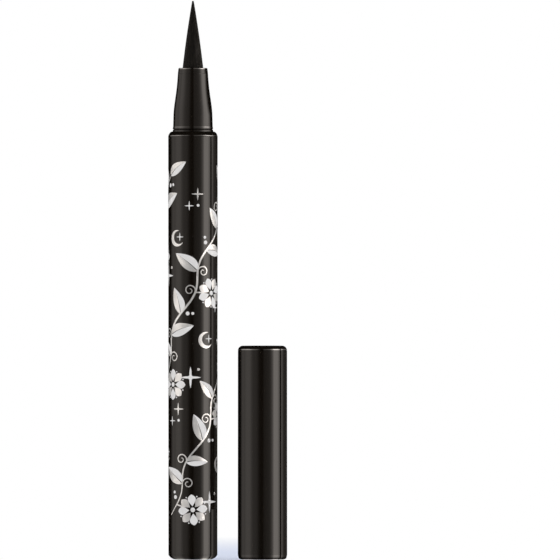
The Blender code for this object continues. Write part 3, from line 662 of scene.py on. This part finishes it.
BLOSSOM_LEAN = 1.5 * LEAF_LEAN
PETALS = 8
PETAL_START = 0.75 * MM
PETAL_LENGTH = 2.55 * MM
PETAL_WIDTH = 0.86 * MM
PETAL_SKEW = 1.35
PETAL_FULLNESS = 0.80
PETAL_CELLS = (6, 14)
PETAL_GAP_SHARE = 0.86
HEART_RADIUS = 0.50 * MM
TENDRIL_RADIUS = 1.25 * MM
TENDRIL_TURN = math.radians(470)
TENDRIL_WIDTH = 0.24 * MM
TENDRIL_WINDING = 0.78
TENDRIL_THINNING = 0.4
TENDRIL_STEPS = 44
BERRY_RADIUS = 0.42 * MM
BERRIES = ((1.6 * MM, 1.0), (2.7 * MM, 0.75))
BERRIES_EVERY = 3
SKY_PLACES = 9
SKY_START = 0.35
SKY_SHIFT = 0.3
STAR_RADIUS = 2.3 * MM
STAR_WAIST_SHARE = 0.22
STAR_SHARPNESS = 2.2
STAR_CORNERS = 48
STAR_RINGS = 5
MOON_RADIUS = 1.55 * MM
MOON_WIDTH = 0.85 * MM
MOON_OPEN = math.radians(110)
MOON_HEADING = math.radians(20)
MOON_STEPS = 34
DOT_RADIUS = 0.30 * MM
DOT_CORNERS = 20
CELL = 0.33 * MM


def facing_out(piece):
    """Turns a flat shape over where its rule has mirrored it."""
    piece.data.update()
    if sum(face.normal.z * face.area for face in piece.data.polygons) < 0:
        select_only(piece)
        edit_all(bpy.ops.mesh.flip_normals)
    return piece


def patch(place, across, along):
    """A grid whose corners go to where a rule, asked from 0 to 1, puts them in the flat print."""
    cells = {"x_subdivisions": across, "y_subdivisions": along}
    piece = added(bpy.ops.mesh.primitive_grid_add, size=1, **cells)
    for corner in piece.data.vertices:
        corner.co = (*place(corner.co.x + 0.5, corner.co.y + 0.5), 0)
    return facing_out(piece)


def blot(centre, edge, corners, rings):
    """A filled round shape: edge says how far out its rim is at an angle."""
    disc = {"vertices": corners, "radius": 1, "fill_type": "TRIFAN"}
    piece = added(bpy.ops.mesh.primitive_circle_add, **disc)
    if rings > 1:
        edit_all(bpy.ops.mesh.subdivide, number_cuts=rings - 1)
    for corner in piece.data.vertices:
        out = math.hypot(corner.co.x, corner.co.y)
        angle = math.atan2(corner.co.y, corner.co.x)
        corner.co = (*beyond(centre, angle, out * edge(angle)), 0)
    return facing_out(piece)


def ribbon(path, width, along):
    """A stroke along a path, whose width follows a rule; both are asked from 0 to 1."""

    def place(side, share):
        back, ahead = path(max(0, share - PATH_STEP)), path(min(1, share + PATH_STEP))
        heading = math.atan2(ahead[1] - back[1], ahead[0] - back[0])
        return beyond(path(share), heading, 0, (side - 0.5) * width(share))

    return patch(place, 2, along)


def dot(centre, radius):
    return blot(centre, lambda angle: radius, DOT_CORNERS, 1)


def vine_point(vine, share):
    across = (VINE_START_SHARE + vine / VINES + VINE_TURNS * share) * PRINT_ROUND
    across += VINE_WAVE * math.sin(math.tau * VINE_WAVES * share)
    return (across, PRINT_LOW + (PRINT_HIGH - PRINT_LOW) * share)


def vine_heading(vine, share):
    low, high = vine_point(vine, share - VINE_STEP), vine_point(vine, share + VINE_STEP)
    return math.atan2(high[1] - low[1], high[0] - low[0])


def half_leaf(base, heading, length, side, curl):
    """One half of a leaf, on one side of a bare midrib that curls."""

    def place(across, along):
        swell = LEAF_WIDTH * length / LEAF_LENGTH
        swell *= math.sin(math.pi * along**LEAF_SKEW) ** LEAF_FULLNESS
        aside = side * (LEAF_GAP * (1 - along) + across * swell) + curl * along**2
        return beyond(base, heading, along * length, aside)

    return patch(place, max(2, round(LEAF_WIDTH / CELL)), LEAF_STEPS)


def leaf(base, heading, length, curl, silver, white):
    """A leaf in two tones, one on each side of its midrib."""
    silver.append(half_leaf(base, heading, length, 1, curl))
    white.append(half_leaf(base, heading, length, -1, curl))


def petal(centre, heading):
    def place(across, along):
        half = PETAL_WIDTH * math.sin(math.pi * along**PETAL_SKEW) ** PETAL_FULLNESS
        return beyond(centre, heading, PETAL_START + along * PETAL_LENGTH, (2 * across - 1) * half)

    return patch(place, *PETAL_CELLS)


def blossom(base, heading, stems, silver, white):
    """A blossom on a stalk: petals in two tones, a heart, and a dot in each gap between them."""
    centre = beyond(base, heading, BLOSSOM_STALK)
    stalk_end = beyond(base, heading, BLOSSOM_STALK - PETAL_START - PETAL_LENGTH / 2)
    reach = PETAL_START + PETAL_GAP_SHARE * PETAL_LENGTH

    def stalk(share):
        return part_way(base, stalk_end, share)

    stems.append(ribbon(stalk, lambda share: STALK_WIDTH, STALK_STEPS))
    for number in range(PETALS):
        turned = heading + math.tau * (number + 0.5) / PETALS
        (silver if number % 2 else white).append(petal(centre, turned))
        white.append(dot(beyond(centre, turned + math.pi / PETALS, reach), DOT_RADIUS / 2))
    white.append(dot(centre, HEART_RADIUS))


def star(centre, radius):
    """A four-pointed sparkle whose sides curve in."""

    def edge(angle):
        point = (1 - abs(math.sin(2 * angle))) ** STAR_SHARPNESS
        return radius * (STAR_WAIST_SHARE + (1 - STAR_WAIST_SHARE) * point)

    return blot(centre, edge, STAR_CORNERS, STAR_RINGS)


def moon(centre, heading):
    """A crescent that opens along a heading."""

    def path(share):
        turned = heading + MOON_OPEN / 2 + share * (math.tau - MOON_OPEN)
        return beyond(centre, turned, MOON_RADIUS)

    return ribbon(path, lambda share: MOON_WIDTH * math.sin(math.pi * share), MOON_STEPS)


def tendril(base, heading, side):
    """A thin curl that leaves the stem along it and winds in on itself."""
    hub = beyond(base, heading, 0, side * TENDRIL_RADIUS)

    def path(share):
        angle = heading - side * (math.pi / 2 - TENDRIL_TURN * share)
        return beyond(hub, angle, TENDRIL_RADIUS * (1 - TENDRIL_WINDING * share))

    def width(share):
        return TENDRIL_WIDTH * (1 - TENDRIL_THINNING * share)

    return ribbon(path, width, TENDRIL_STEPS)


def sprig(vine, number, stems, silver, white):
    """What grows at one place of the stem: a leaf or a blossom, and a curl or berries opposite."""
    share = (number + 0.5) / SPRIGS
    side = 1 if number % 2 else -1
    base = vine_point(vine, share)
    along = vine_heading(vine, share)
    if number % BLOSSOM_EVERY == 2 * vine:
        blossom(base, along + side * BLOSSOM_LEAN, stems, silver, white)
    else:
        drift = LEAF_DRIFT_SHARE * math.sin(LEAF_DRIFT_TURN * number + vine)
        length = LEAF_LENGTH * (LEAF_MEAN_SHARE + drift)
        leaf(base, along + side * LEAF_LEAN, length, side * LEAF_CURL, silver, white)
    if number % BERRIES_EVERY:
        silver.append(tendril(base, along, -side))
    else:
        for reach, size in BERRIES:
            berry = beyond(base, along - side * LEAF_LEAN, reach)
            white.append(dot(berry, BERRY_RADIUS * size))


# What stands at the sky's places in turn: its film, its shape, how far across and up it is in
# millimetres, and its radius or the way a moon opens
SKY = (
    (
        ("white", star, 0.0, 0.0, STAR_RADIUS),
        ("silver", dot, 1.7, 1.7, DOT_RADIUS),
        ("silver", dot, -1.6, -1.8, DOT_RADIUS),
    ),
    (
        ("silver", moon, 0.0, 0.0, MOON_HEADING),
        ("white", star, 0.5, 0.2, STAR_RADIUS * 0.4),
    ),
    (
        ("silver", star, 0.8, 1.3, STAR_RADIUS * 0.6),
        ("white", star, -1.0, -1.2, STAR_RADIUS * 0.45),
        ("white", dot, 0.9, -1.1, DOT_RADIUS),
    ),
)


def sky(vine, silver, white):
    """Stars, moons and dots half way between one vine and the next."""
    films = {"silver": silver, "white": white}
    for number in range(SKY_PLACES):
        share = (number + SKY_START + SKY_SHIFT * vine) / SKY_PLACES
        across, up = vine_point(vine, share)
        across += PRINT_ROUND / VINES / 2 - VINE_WAVE * math.sin(math.tau * VINE_WAVES * share)
        for film, shape, aside, higher, size in SKY[number % len(SKY)]:
            films[film].append(shape((across + aside * MM, up + higher * MM), size))


def wound_on(name, shapes):
    """Joins flat shapes and winds them on the barrel as one printed film."""
    bpy.ops.object.select_all(action="DESELECT")
    for shape in shapes:
        shape.select_set(True)
    bpy.context.view_layer.objects.active = shapes[0]
    bpy.ops.object.join()
    film = bpy.context.object
    film.name = film.data.name = name
    low, high = ends_of("barrel")
    tail, front = half_width("end_plug"), half_width("barrel")
    for corner in film.data.vertices:
        across, up = corner.co.x, corner.co.y
        angle = across / PRINT_RADIUS
        radius = tail + (front - tail) * (up - low) / (high - low) - PRINT_SUNK
        corner.co = (radius * math.sin(angle), -radius * math.cos(angle), up)
    modify(film, "SOLIDIFY", thickness=PRINT_THICKNESS, offset=1)
    bpy.ops.object.shade_smooth_by_angle(angle=SMOOTH_BELOW)
    return film


def make_print():
    """The print's three films: the stems, the silver shapes and the white ones."""
    stems, silver, white = [], [], []

    def stem_width(share):
        return STEM_WIDTH * (1 - STEM_THINNING * abs(2 * share - 1) ** 3)

    for vine in range(VINES):

        def path(share, vine=vine):
            return vine_point(vine, share)

        stems.append(ribbon(path, stem_width, STEM_STEPS))
        for number in range(SPRIGS):
            sprig(vine, number, stems, silver, white)
        last = LEAF_LENGTH * LAST_LEAF_SHARE
        leaf(path(1), vine_heading(vine, 1), last, -LEAF_CURL, silver, white)
        sky(vine, silver, white)
    films = {"print_stems": stems, "print_silver": silver, "print_white": white}
    return [wound_on(name, shapes) for name, shapes in films.items()]


# Tones that a material runs between, and the tones of the marks on it
BLACK_TONES = ((0.0062, 0.0046, 0.0033), (0.0074, 0.0056, 0.0041))
FELT_TONES = ((0.0035, 0.0026, 0.0018), (0.0135, 0.0115, 0.0090))
SILVER_TONES = ((0.70, 0.69, 0.68), (0.86, 0.85, 0.84))
WHITE_TONES = ((0.80, 0.79, 0.79), (0.88, 0.87, 0.87))
MILKY_TONES = ((0.56, 0.57, 0.57), (0.68, 0.69, 0.68))
FIBRE_TONES = ((0.52, 0.51, 0.48), (0.74, 0.73, 0.70))
RUBBER_TONES = ((0.02, 0.02, 0.02), (0.045, 0.045, 0.044))
STEEL_TONES = ((0.62, 0.62, 0.64), (0.50, 0.50, 0.52))
DUST_TONE = (0.10, 0.095, 0.09)
PINHOLE_TONE = (0.02, 0.02, 0.02)
GRIT_TONE = (0.08, 0.07, 0.06)
STAIN_TONE = (0.012, 0.011, 0.012)

# The black moulding's roughness, and what its marks add to it and to its height
BLACK_ROUGHNESS = 0.045
SMUDGE_ROUGHNESS = 0.05
RUB_ROUGHNESS = 0.08
DUST_ROUGHNESS = 0.5
DUST_HEIGHT = 6.0
PRINT_ROUGHNESS_DRIFT = 0.08


def new_node(tree, kind, values, **settings):
    """Adds a node with its own settings; a value that is a socket is linked to its input."""
    node = tree.nodes.new(kind)
    for name, value in settings.items():
        setattr(node, name, value)
    for name, value in values.items():
        if isinstance(value, bpy.types.NodeSocket):
            tree.links.new(value, node.inputs[name])
        else:
            node.inputs[name].default_value = value
    return node


def between(tree, value, low, high, to_low=0.0, to_high=1.0):
    ends = {"From Min": low, "From Max": high, "To Min": to_low, "To Max": to_high}
    node = new_node(tree, "ShaderNodeMapRange", {"Value": value, **ends}, clamp=True)
    return node.outputs["Result"]


def calculated(tree, operation, *values, kind="ShaderNodeMath"):
    return new_node(tree, kind, dict(enumerate(values)), operation=operation).outputs[0]


def product(tree, first, second):
    return calculated(tree, "MULTIPLY", first, second)


def vector_of(tree, operation, *values):
    return calculated(tree, operation, *values, kind="ShaderNodeVectorMath")


def noise(tree, vector, scale, detail):
    values = {"Vector": vector, "Scale": scale, "Detail": detail}
    return new_node(tree, "ShaderNodeTexNoise", values).outputs["Fac"]


def new_group(name, numbers, outputs):
    """A node group that takes a vector and named numbers, and gives named numbers."""
    tree = bpy.data.node_groups.new(name, "ShaderNodeTree")
    tree.interface.new_socket("Vector", in_out="INPUT", socket_type="NodeSocketVector")
    for way, labels in (("INPUT", numbers), ("OUTPUT", outputs)):
        for label in labels:
            tree.interface.new_socket(label, in_out=way, socket_type="NodeSocketFloat")
    given = tree.nodes.new("NodeGroupInput").outputs
    return tree, given, tree.nodes.new("NodeGroupOutput").inputs


def build_smudge_group():
    """Skin marks: patches where a finger has rested, with the fine ridges of the skin in them."""
    tree, given, gives = new_group("handling_smudges", (), ("Smudge",))
    area = between(tree, noise(tree, given["Vector"], scale=95.0, detail=3.0), 0.54, 0.66)
    wave = {"Scale": 620.0, "Distortion": 9.0, "Detail": 1.0, "Detail Scale": 0.4}
    ridges = new_node(tree, "ShaderNodeTexWave", {"Vector": given["Vector"], **wave}).outputs["Fac"]
    ridged = between(tree, ridges, 0.2, 0.8, 0.55, 1.0)
    tree.links.new(product(tree, area, ridged), gives["Smudge"])
    return tree


def build_dust_group():
    """Single grains of dust, a few to each square centimetre."""
    tree, given, gives = new_group("settled_dust", ("Spacing",), ("Speck",))
    values = {"Vector": given["Vector"], "Scale": given["Spacing"]}
    cells = new_node(tree, "ShaderNodeTexVoronoi", values).outputs
    grain = between(tree, cells["Distance"], 0.07, 0.03)
    chance = new_node(tree, "ShaderNodeSeparateColor", {"Color": cells["Color"]}).outputs[0]
    kept = calculated(tree, "GREATER_THAN", chance, 0.97)
    tree.links.new(product(tree, grain, kept), gives["Speck"])
    return tree


def build_hairline_group():
    """Fine rub lines: where noise drawn out along one way crosses its middle, in a few patches."""
    tree, given, gives = new_group("hairline_rubs", ("Density", "Cover"), ("Line",))
    drawn = noise(tree, given["Vector"], scale=given["Density"], detail=2.0)
    off_middle = calculated(tree, "ABSOLUTE", calculated(tree, "SUBTRACT", drawn, 0.5))
    line = between(tree, off_middle, 0.02, 0.0)
    patches = noise(tree, given["Vector"], scale=180.0, detail=1.0)
    bare = calculated(tree, "SUBTRACT", 1.0, given["Cover"])
    kept = calculated(tree, "GREATER_THAN", patches, bare)
    tree.links.new(product(tree, line, kept), gives["Line"])
    return tree


def build_fibre_group():
    """Streaks of bundled fibre that run along the vector's Z."""
    tree, given, gives = new_group("fibre_streaks", ("Density",), ("Streak", "Tuft"))
    drawn = vector_of(tree, "MULTIPLY", given["Vector"], (1.0, 1.0, 0.03))
    fine = noise(tree, drawn, scale=given["Density"], detail=4.0)
    coarse = noise(tree, drawn, scale=1500.0, detail=2.0)
    tree.links.new(between(tree, fine, 0.32, 0.68), gives["Streak"])
    tree.links.new(between(tree, coarse, 0.35, 0.65), gives["Tuft"])
    return tree


def new_material(name, roughness, **settings):
    """A material with a Principled shader, its nodes, and its Object coordinates."""
    material = bpy.data.materials.new(name)
    material.use_nodes = True
    tree = material.node_tree
    shader = tree.nodes["Principled BSDF"]
    shader.inputs["Roughness"].default_value = roughness
    for label, value in settings.items():
        shader.inputs[label.replace("_", " ")].default_value = value
    return material, tree, tree.nodes.new("ShaderNodeTexCoord").outputs["Object"]


def grouped(tree, group, vector, **values):
    """Places a node group in a material with its own numbers."""
    return new_node(tree, "ShaderNodeGroup", {"Vector": vector, **values}, node_tree=group).outputs


def mixed(tree, share, *colours):
    """A colour between two others, each a socket or (red, green, blue)."""
    values = {"Factor": share}
    for label, colour in zip((6, 7), colours):
        bare = not isinstance(colour, bpy.types.NodeSocket)
        values[label] = (*colour, 1.0) if bare else colour
    return new_node(tree, "ShaderNodeMix", values, data_type="RGBA").outputs[2]


def surfaced(material, colour, rough, height, relief, strength):
    """Gives a material its colour, its roughness and a relief so many metres high."""
    tree = material.node_tree
    shader = tree.nodes["Principled BSDF"]
    heights = {"Height": height, "Distance": relief, "Strength": strength}
    normal = new_node(tree, "ShaderNodeBump", heights).outputs["Normal"]
    for label, socket in (("Base Color", colour), ("Roughness", rough), ("Normal", normal)):
        tree.links.new(socket, shader.inputs[label])
    return material


def gloss_black_plastic(groups):
    """Glossy warm black moulding with skin marks, hairline rubs and a few grains of dust."""
    material, tree, where = new_material("gloss_black", 0.08, IOR=1.5)
    smudge = grouped(tree, groups["smudge"], where)["Smudge"]
    speck = grouped(tree, groups["dust"], where, Spacing=900.0)["Speck"]
    drawn = vector_of(tree, "MULTIPLY", where, (1.0, 1.0, 0.06))
    line = grouped(tree, groups["hairline"], drawn, Density=2600.0, Cover=0.46)["Line"]
    colour = mixed(tree, noise(tree, where, scale=140.0, detail=2.0), *BLACK_TONES)
    rough = BLACK_ROUGHNESS
    marks = ((smudge, SMUDGE_ROUGHNESS), (line, RUB_ROUGHNESS), (speck, DUST_ROUGHNESS))
    for mark, roughness in marks:
        rough = calculated(tree, "MULTIPLY_ADD", mark, roughness, rough)
    peel = noise(tree, where, scale=420.0, detail=1.0)
    height = calculated(tree, "MULTIPLY_ADD", speck, DUST_HEIGHT, peel)
    colour = mixed(tree, speck, colour, DUST_TONE)
    return surfaced(material, colour, rough, height, relief=0.0007 * MM, strength=1.0)


def inked_felt(groups):
    """Bonded fibre soaked with ink: matt, a little lighter where fibres stand up."""
    settings = {"IOR": 1.45, "Specular_IOR_Level": 0.15}
    material, tree, where = new_material("inked_felt", 0.8, **settings)
    fibre = grouped(tree, groups["fibre"], where, Density=5200.0)
    shade = product(tree, fibre["Streak"], fibre["Tuft"])
    colour = mixed(tree, shade, *FELT_TONES)
    rough = between(tree, fibre["Tuft"], 0.0, 1.0, 0.62, 0.9)
    return surfaced(material, colour, rough, fibre["Streak"], relief=0.02 * MM, strength=0.8)


def printed(name, tones, metallic, roughness, groups):
    """A printed film: its tone and gloss drift a little, with pinholes where the ink missed."""
    material, tree, where = new_material(name, roughness, Metallic=metallic, IOR=1.5)
    drift = between(tree, noise(tree, where, scale=260.0, detail=4.0), 0.35, 0.65)
    speck = grouped(tree, groups["dust"], where, Spacing=3200.0)["Speck"]
    colour = mixed(tree, speck, mixed(tree, drift, *tones), PINHOLE_TONE)
    grain = noise(tree, where, scale=2400.0, detail=3.0)
    span = (roughness - PRINT_ROUGHNESS_DRIFT, roughness + PRINT_ROUGHNESS_DRIFT)
    rough = between(tree, grain, 0.3, 0.7, *span)
    return surfaced(material, colour, rough, grain, relief=0.004 * MM, strength=0.6)


def milky_plastic(groups):
    """Natural polypropylene: waxy, cloudy, with faint flow marks."""
    settings = {"IOR": 1.49, "Subsurface_Weight": 0.25, "Subsurface_Scale": 0.8 * MM}
    material, tree, where = new_material("milky_plastic", 0.42, **settings)
    cloud = noise(tree, where, scale=300.0, detail=4.0)
    speck = grouped(tree, groups["dust"], where, Spacing=1300.0)["Speck"]
    colour = mixed(tree, speck, mixed(tree, cloud, *MILKY_TONES), GRIT_TONE)
    rough = between(tree, cloud, 0.3, 0.7, 0.36, 0.5)
    return surfaced(material, colour, rough, cloud, relief=0.01 * MM, strength=0.5)


def feed_fibre(groups):
    """Pressed polyester rod, drawn in streaks, stained where ink has climbed."""
    material, tree, where = new_material("feed_fibre", 0.9, IOR=1.45)
    fibre = grouped(tree, groups["fibre"], where, Density=4200.0)
    stain = noise(tree, where, scale=240.0, detail=3.0)
    wet = between(tree, stain, 0.46, 0.56, 0.0, 0.92)
    colour = mixed(tree, wet, mixed(tree, fibre["Streak"], *FIBRE_TONES), STAIN_TONE)
    rough = between(tree, wet, 0.0, 1.0, 0.92, 0.6)
    return surfaced(material, colour, rough, fibre["Streak"], relief=0.02 * MM, strength=0.8)


def seal_rubber():
    """Matt black nitrile with a fine bloom."""
    material, tree, where = new_material("seal_rubber", 0.75, IOR=1.52)
    bloom = noise(tree, where, scale=1100.0, detail=4.0)
    rough = between(tree, bloom, 0.3, 0.7, 0.65, 0.85)
    colour = mixed(tree, bloom, *RUBBER_TONES)
    return surfaced(material, colour, rough, bloom, relief=0.01 * MM, strength=0.6)


def bright_steel(groups):
    """Bright steel with fine drawing lines."""
    material, tree, where = new_material("steel", 0.2, Metallic=1.0)
    drawn = vector_of(tree, "MULTIPLY", where, (0.12, 0.12, 1.0))
    line = grouped(tree, groups["hairline"], drawn, Density=3600.0, Cover=0.6)["Line"]
    rough = between(tree, line, 0.0, 1.0, 0.18, 0.34)
    colour = mixed(tree, line, *STEEL_TONES)
    return surfaced(material, colour, rough, line, relief=0.002 * MM, strength=0.6)


def either(tree, share, first, second):
    """The first shader where the share is 0, the second where it is 1, and a mix between."""
    return new_node(tree, "ShaderNodeMixShader", {0: share, 1: first, 2: second}).outputs[0]


def dress(piece, material):
    piece.data.materials.clear()
    piece.data.materials.append(material)


# The studio's lights are placed by the facing that shows each of them in the front view. Its turn
# is the way round the pen that its reflection goes, in degrees from the camera's side towards +X,
# and its lean is how far it faces up. 1 is the brightness of white paper.
ROUND_THE_PEN = (
    (-180, 0.0), (-126, 0.00), (-118, 0.22), (-109, 0.56), (-100, 0.70), (-93, 0.70), (-84, 1.00),
    (-74, 1.13), (-62, 1.12), (-56, 0.86), (-50, 0.60), (-43, 0.45), (-31, 0.39), (-24, 0.27),
    (-16, 0.07), (-8, 0.0), (1, 0.0), (8, 0.14), (22, 0.22), (32, 0.29), (38, 0.46), (47, 1.20),
    (51, 1.90), (56, 3.30), (74, 3.08), (80, 2.25), (87, 1.45), (89.4, 1.20), (89.8, 0.0),
    (99.0, 0.0), (99.4, 1.20), (105, 0.95), (113, 0.30), (125, 0.11), (150, 0.05), (180, 0.0),
)
BRIGHTEST = 3.30

# Above the level the right-hand softboxes stand further round, and the strip light ends; the last
# of them closes up as the facing rises
ROUND_THE_NOZZLE = (
    (-180, 0.0), (-136, 0.00), (-126, 0.40), (-109, 0.72), (-98, 0.75), (-84, 1.15), (-70, 1.10),
    (-61, 0.85), (-54, 0.65), (-48, 0.52), (-42, 0.44), (-36, 0.38), (-24, 0.27), (-16, 0.07),
    (-8, 0.0), (2, 0.0), (8, 0.20), (24, 0.24), (40, 0.36), (46, 0.49), (53, 0.75), (60, 1.22),
    (66, 2.05), (73, 2.95), (96, 2.90), (104, 2.15), (114, 1.05), (124, 0.40), (130, 0.0),
    (180, 0.0),
)
ABOVE_THE_LEVEL = ((-90, 0.0), (1.0, 0.0), (2.0, 1.0), (14.9, 1.0), (15.1, 0.0), (90, 0.0))
CLOSES_FROM = 75.0
CLOSES_BY = (
    (-90, 0.0), (1.5, 0.0), (8.5, 0.40), (9.6, 0.40),
    (10.0, 0.05), (11.8, 0.05), (12.4, 0.30), (90, 0.30),
)

# How the brightness changes with the lean, as a factor
UP_THE_STUDIO = (
    (-90, 0.6), (-78, 0.6), (-74, 0.7), (-60, 0.9), (-52, 0.80), (-37, 0.80), (-35.5, 0.04),
    (-21, 0.04), (-19.5, 0.85), (-13.5, 0.85), (-12.5, 1.4), (-8.5, 1.4), (-7, 1.0), (9.7, 1.0),
    (10.1, 2.6), (11.6, 2.6), (11.9, 1.0), (12.2, 1.0), (12.5, 8.0), (14.6, 8.0), (15.0, 1.0),
    (15.6, 6.5), (18.6, 6.5), (19.2, 0.2), (26, 0.0), (90, 0.0),
)
HIGHEST = 8.0
WHITE = (1.0, 1.0, 1.0)
TO_THE_CAMERA = (0, -1, 0)
STUDIO_TINT = (1.0, 0.925, 0.86)
SOFT_LIGHT = 0.72
SOFT_LIGHT_TURN = 0.20


def curve_of(tree, value, points, peak=1.0):
    """A curve of listed (place, height) points, in straight pieces."""
    first, last = points[0][0], points[-1][0]
    share = between(tree, value, first, last)
    node = new_node(tree, "ShaderNodeFloatCurve", {"Value": share})
    line = node.mapping.curves[0]
    scaled = [((spot - first) / (last - first), height / peak) for spot, height in points]
    line.points[0].location = scaled[0]
    line.points[1].location = scaled[-1]
    for spot in scaled[1:-1]:
        line.points.new(*spot)
    for point in line.points:
        point.handle_type = "VECTOR"
    node.mapping.update()
    return product(tree, node.outputs["Value"], peak)


def build_studio():
    """The world: softboxes in the gloss, soft light all round, and white where the camera looks."""
    world = bpy.data.worlds.new("studio")
    bpy.context.scene.world = world
    world.use_nodes = True
    tree = world.node_tree
    tree.nodes.clear()
    way = tree.nodes.new("ShaderNodeTexCoord").outputs["Generated"]
    facing = vector_of(tree, "NORMALIZE", vector_of(tree, "ADD", way, TO_THE_CAMERA))
    across, deep, up = new_node(tree, "ShaderNodeSeparateXYZ", {0: facing}).outputs
    towards = product(tree, deep, -1.0)
    half_turn = calculated(tree, "DEGREES", calculated(tree, "ARCTAN2", across, towards))
    turned = product(tree, half_turn, 2.0)
    lean = calculated(tree, "DEGREES", calculated(tree, "ARCSINE", up))

    beside = curve_of(tree, turned, ROUND_THE_PEN, BRIGHTEST)
    past = calculated(tree, "MAXIMUM", calculated(tree, "SUBTRACT", turned, CLOSES_FROM), 0.0)
    closing = curve_of(tree, lean, CLOSES_BY)
    closed_up = calculated(tree, "MULTIPLY_ADD", past, closing, turned)
    above = curve_of(tree, closed_up, ROUND_THE_NOZZLE, BRIGHTEST)
    higher = curve_of(tree, lean, ABOVE_THE_LEVEL)
    level = between(tree, higher, 0.0, 1.0, beside, above)
    rise = curve_of(tree, lean, UP_THE_STUDIO, HIGHEST)

    def light(tint, strength):
        values = {"Color": (*tint, 1), "Strength": strength}
        return new_node(tree, "ShaderNodeBackground", values).outputs[0]

    path = tree.nodes.new("ShaderNodeLightPath").outputs
    gloss = light(STUDIO_TINT, product(tree, level, rise))
    soft = light(WHITE, calculated(tree, "MULTIPLY_ADD", beside, SOFT_LIGHT_TURN, SOFT_LIGHT))
    lit = either(tree, path["Is Glossy Ray"], soft, gloss)
    shown = either(tree, path["Is Camera Ray"], lit, light(WHITE, 1.0))
    new_node(tree, "ShaderNodeOutputWorld", {"Surface": shown})


FLOOR_RADIUS = 1.5
FLOOR_SIDES = 96
FLOOR_GAP = 0.01 * MM
# The floor's pale tone, and the bluish tone painted into it where shade falls
FLOOR_AND_PAINTED_SHADE_TONES = ((0.95, 0.95, 0.95), (0.80, 0.85, 1.0))
# The patch of painted shade, between and behind the pen and cap, and how it fades
SHADE_HALF_WIDTH = 7.0 * MM
SHADE_FADE = 6.0 * MM
SHADE_FRONT = -20 * MM
SHADE_START = 61 * MM
SHADE_END = 204 * MM
# The painted shade's tone, and the share of the lit floor with its real shadow seen there
SHADE_TONES = (WHITE, (0.67, 0.73, 0.89))
SHADOW_SHARE = 0.55


def build_floor():
    """A pale floor with the pen's real shadow, and painted bluish shade that fades to plain white.
    """
    disc = {"vertices": FLOOR_SIDES, "radius": FLOOR_RADIUS, "fill_type": "NGON"}
    floor = added(bpy.ops.mesh.primitive_circle_add, **disc)
    floor.name = "floor"
    floor.location.z = -FLOOR_GAP
    material, tree, where = new_material("pale_floor", 0.9)
    across, deep = new_node(tree, "ShaderNodeSeparateXYZ", {0: where}).outputs[:2]
    off_centre = calculated(tree, "SUBTRACT", across, middle_of("cap_shell") / 2)
    aside = calculated(tree, "ABSOLUTE", off_centre)
    beside = between(tree, aside, SHADE_HALF_WIDTH, SHADE_HALF_WIDTH + SHADE_FADE, 1.0, 0.0)
    behind = between(tree, deep, SHADE_START, SHADE_END, 1.0, 0.0)
    in_front = between(tree, deep, SHADE_FRONT, 0.0, 0.0, 1.0)
    # near is the patch where the floor's shade is painted
    near = product(tree, product(tree, beside, behind), in_front)
    shader = tree.nodes["Principled BSDF"]
    tree.links.new(mixed(tree, near, *FLOOR_AND_PAINTED_SHADE_TONES), shader.inputs["Base Color"])
    # What the camera sees of the floor: plain white, and the painted shade in the patch
    shade = mixed(tree, near, *SHADE_TONES)
    white_and_painted_shade = new_node(tree, "ShaderNodeEmission", {"Color": shade, "Strength": 1.0})
    path = tree.nodes.new("ShaderNodeLightPath").outputs
    bare = calculated(tree, "MULTIPLY_ADD", near, -SHADOW_SHARE, 1.0)
    shown = product(tree, bare, path["Is Camera Ray"])
    both = either(tree, shown, shader.outputs[0], white_and_painted_shade.outputs[0])
    tree.links.new(both, tree.nodes["Material Output"].inputs["Surface"])
    dress(floor, material)
    floor.visible_glossy = False


def build_camera():
    camera = bpy.data.cameras.new("camera")
    camera.lens = LENS_MM
    camera.sensor_width = SENSOR_MM
    camera.clip_start = 0.01
    camera.clip_end = 20.0
    holder = bpy.data.objects.new("camera", camera)
    holder.location = (VIEW_CENTRE_X, -VIEW_WIDTH * LENS_MM / SENSOR_MM, VIEW_CENTRE_Z)
    holder.rotation_euler.x = math.pi / 2
    bpy.context.scene.collection.objects.link(holder)
    bpy.context.scene.camera = holder


def main():
    bpy.context.scene.view_settings.view_transform = "Standard"
    groups = {
        "smudge": build_smudge_group(),
        "dust": build_dust_group(),
        "hairline": build_hairline_group(),
        "fibre": build_fibre_group(),
    }
    black = gloss_black_plastic(groups)
    felt = inked_felt(groups)
    silver_film = printed("silver_film", SILVER_TONES, 0.55, 0.38, groups)
    white_film = printed("white_film", WHITE_TONES, 0.0, 0.45, groups)
    milky = milky_plastic(groups)
    steel = bright_steel(groups)

    dressed = (
        (make_barrel, black, "pen", "barrel", "gloss_black"),
        (make_end_plug, black, "pen", "end_plug", "gloss_black"),
        (make_nozzle, black, "pen", "nozzle", "gloss_black"),
        (make_nib_collar, black, "pen", "nib_collar", "satin_black"),
        (make_nib, felt, "pen", "nib", "inked_felt"),
        (make_cap_shell, black, "cap", "cap_shell", "gloss_black"),
        (make_cap_crown, black, "cap", "cap_crown", "gloss_black"),
        (make_inner_cap, milky, "inner_cap", "inner_cap", "milky_plastic"),
    )
    for make, material, body, node, slot in dressed:
        piece = make()
        dress(piece, material)
        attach(piece, body)
        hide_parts(node)
        piece.visible_glossy = node in SEEN_IN_GLOSS

    spring = make_coil_spring()
    dress(spring, steel)
    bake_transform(spring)
    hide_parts("cap_spring")
    spring.visible_glossy = False

    for film, material in zip(make_print(), (silver_film, silver_film, white_film)):
        dress(film, material)
        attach(film, "pen")
        film.visible_glossy = False

    undrawn = {
        "feed_rod": feed_fibre(groups),
        "collector": milky,
        "collector_seal": seal_rubber(),
        "stirring_ball": steel,
    }
    for node, material in undrawn.items():
        dress(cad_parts[node], material)
        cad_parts[node].visible_glossy = False

    build_studio()
    build_floor()
    build_camera()


main()
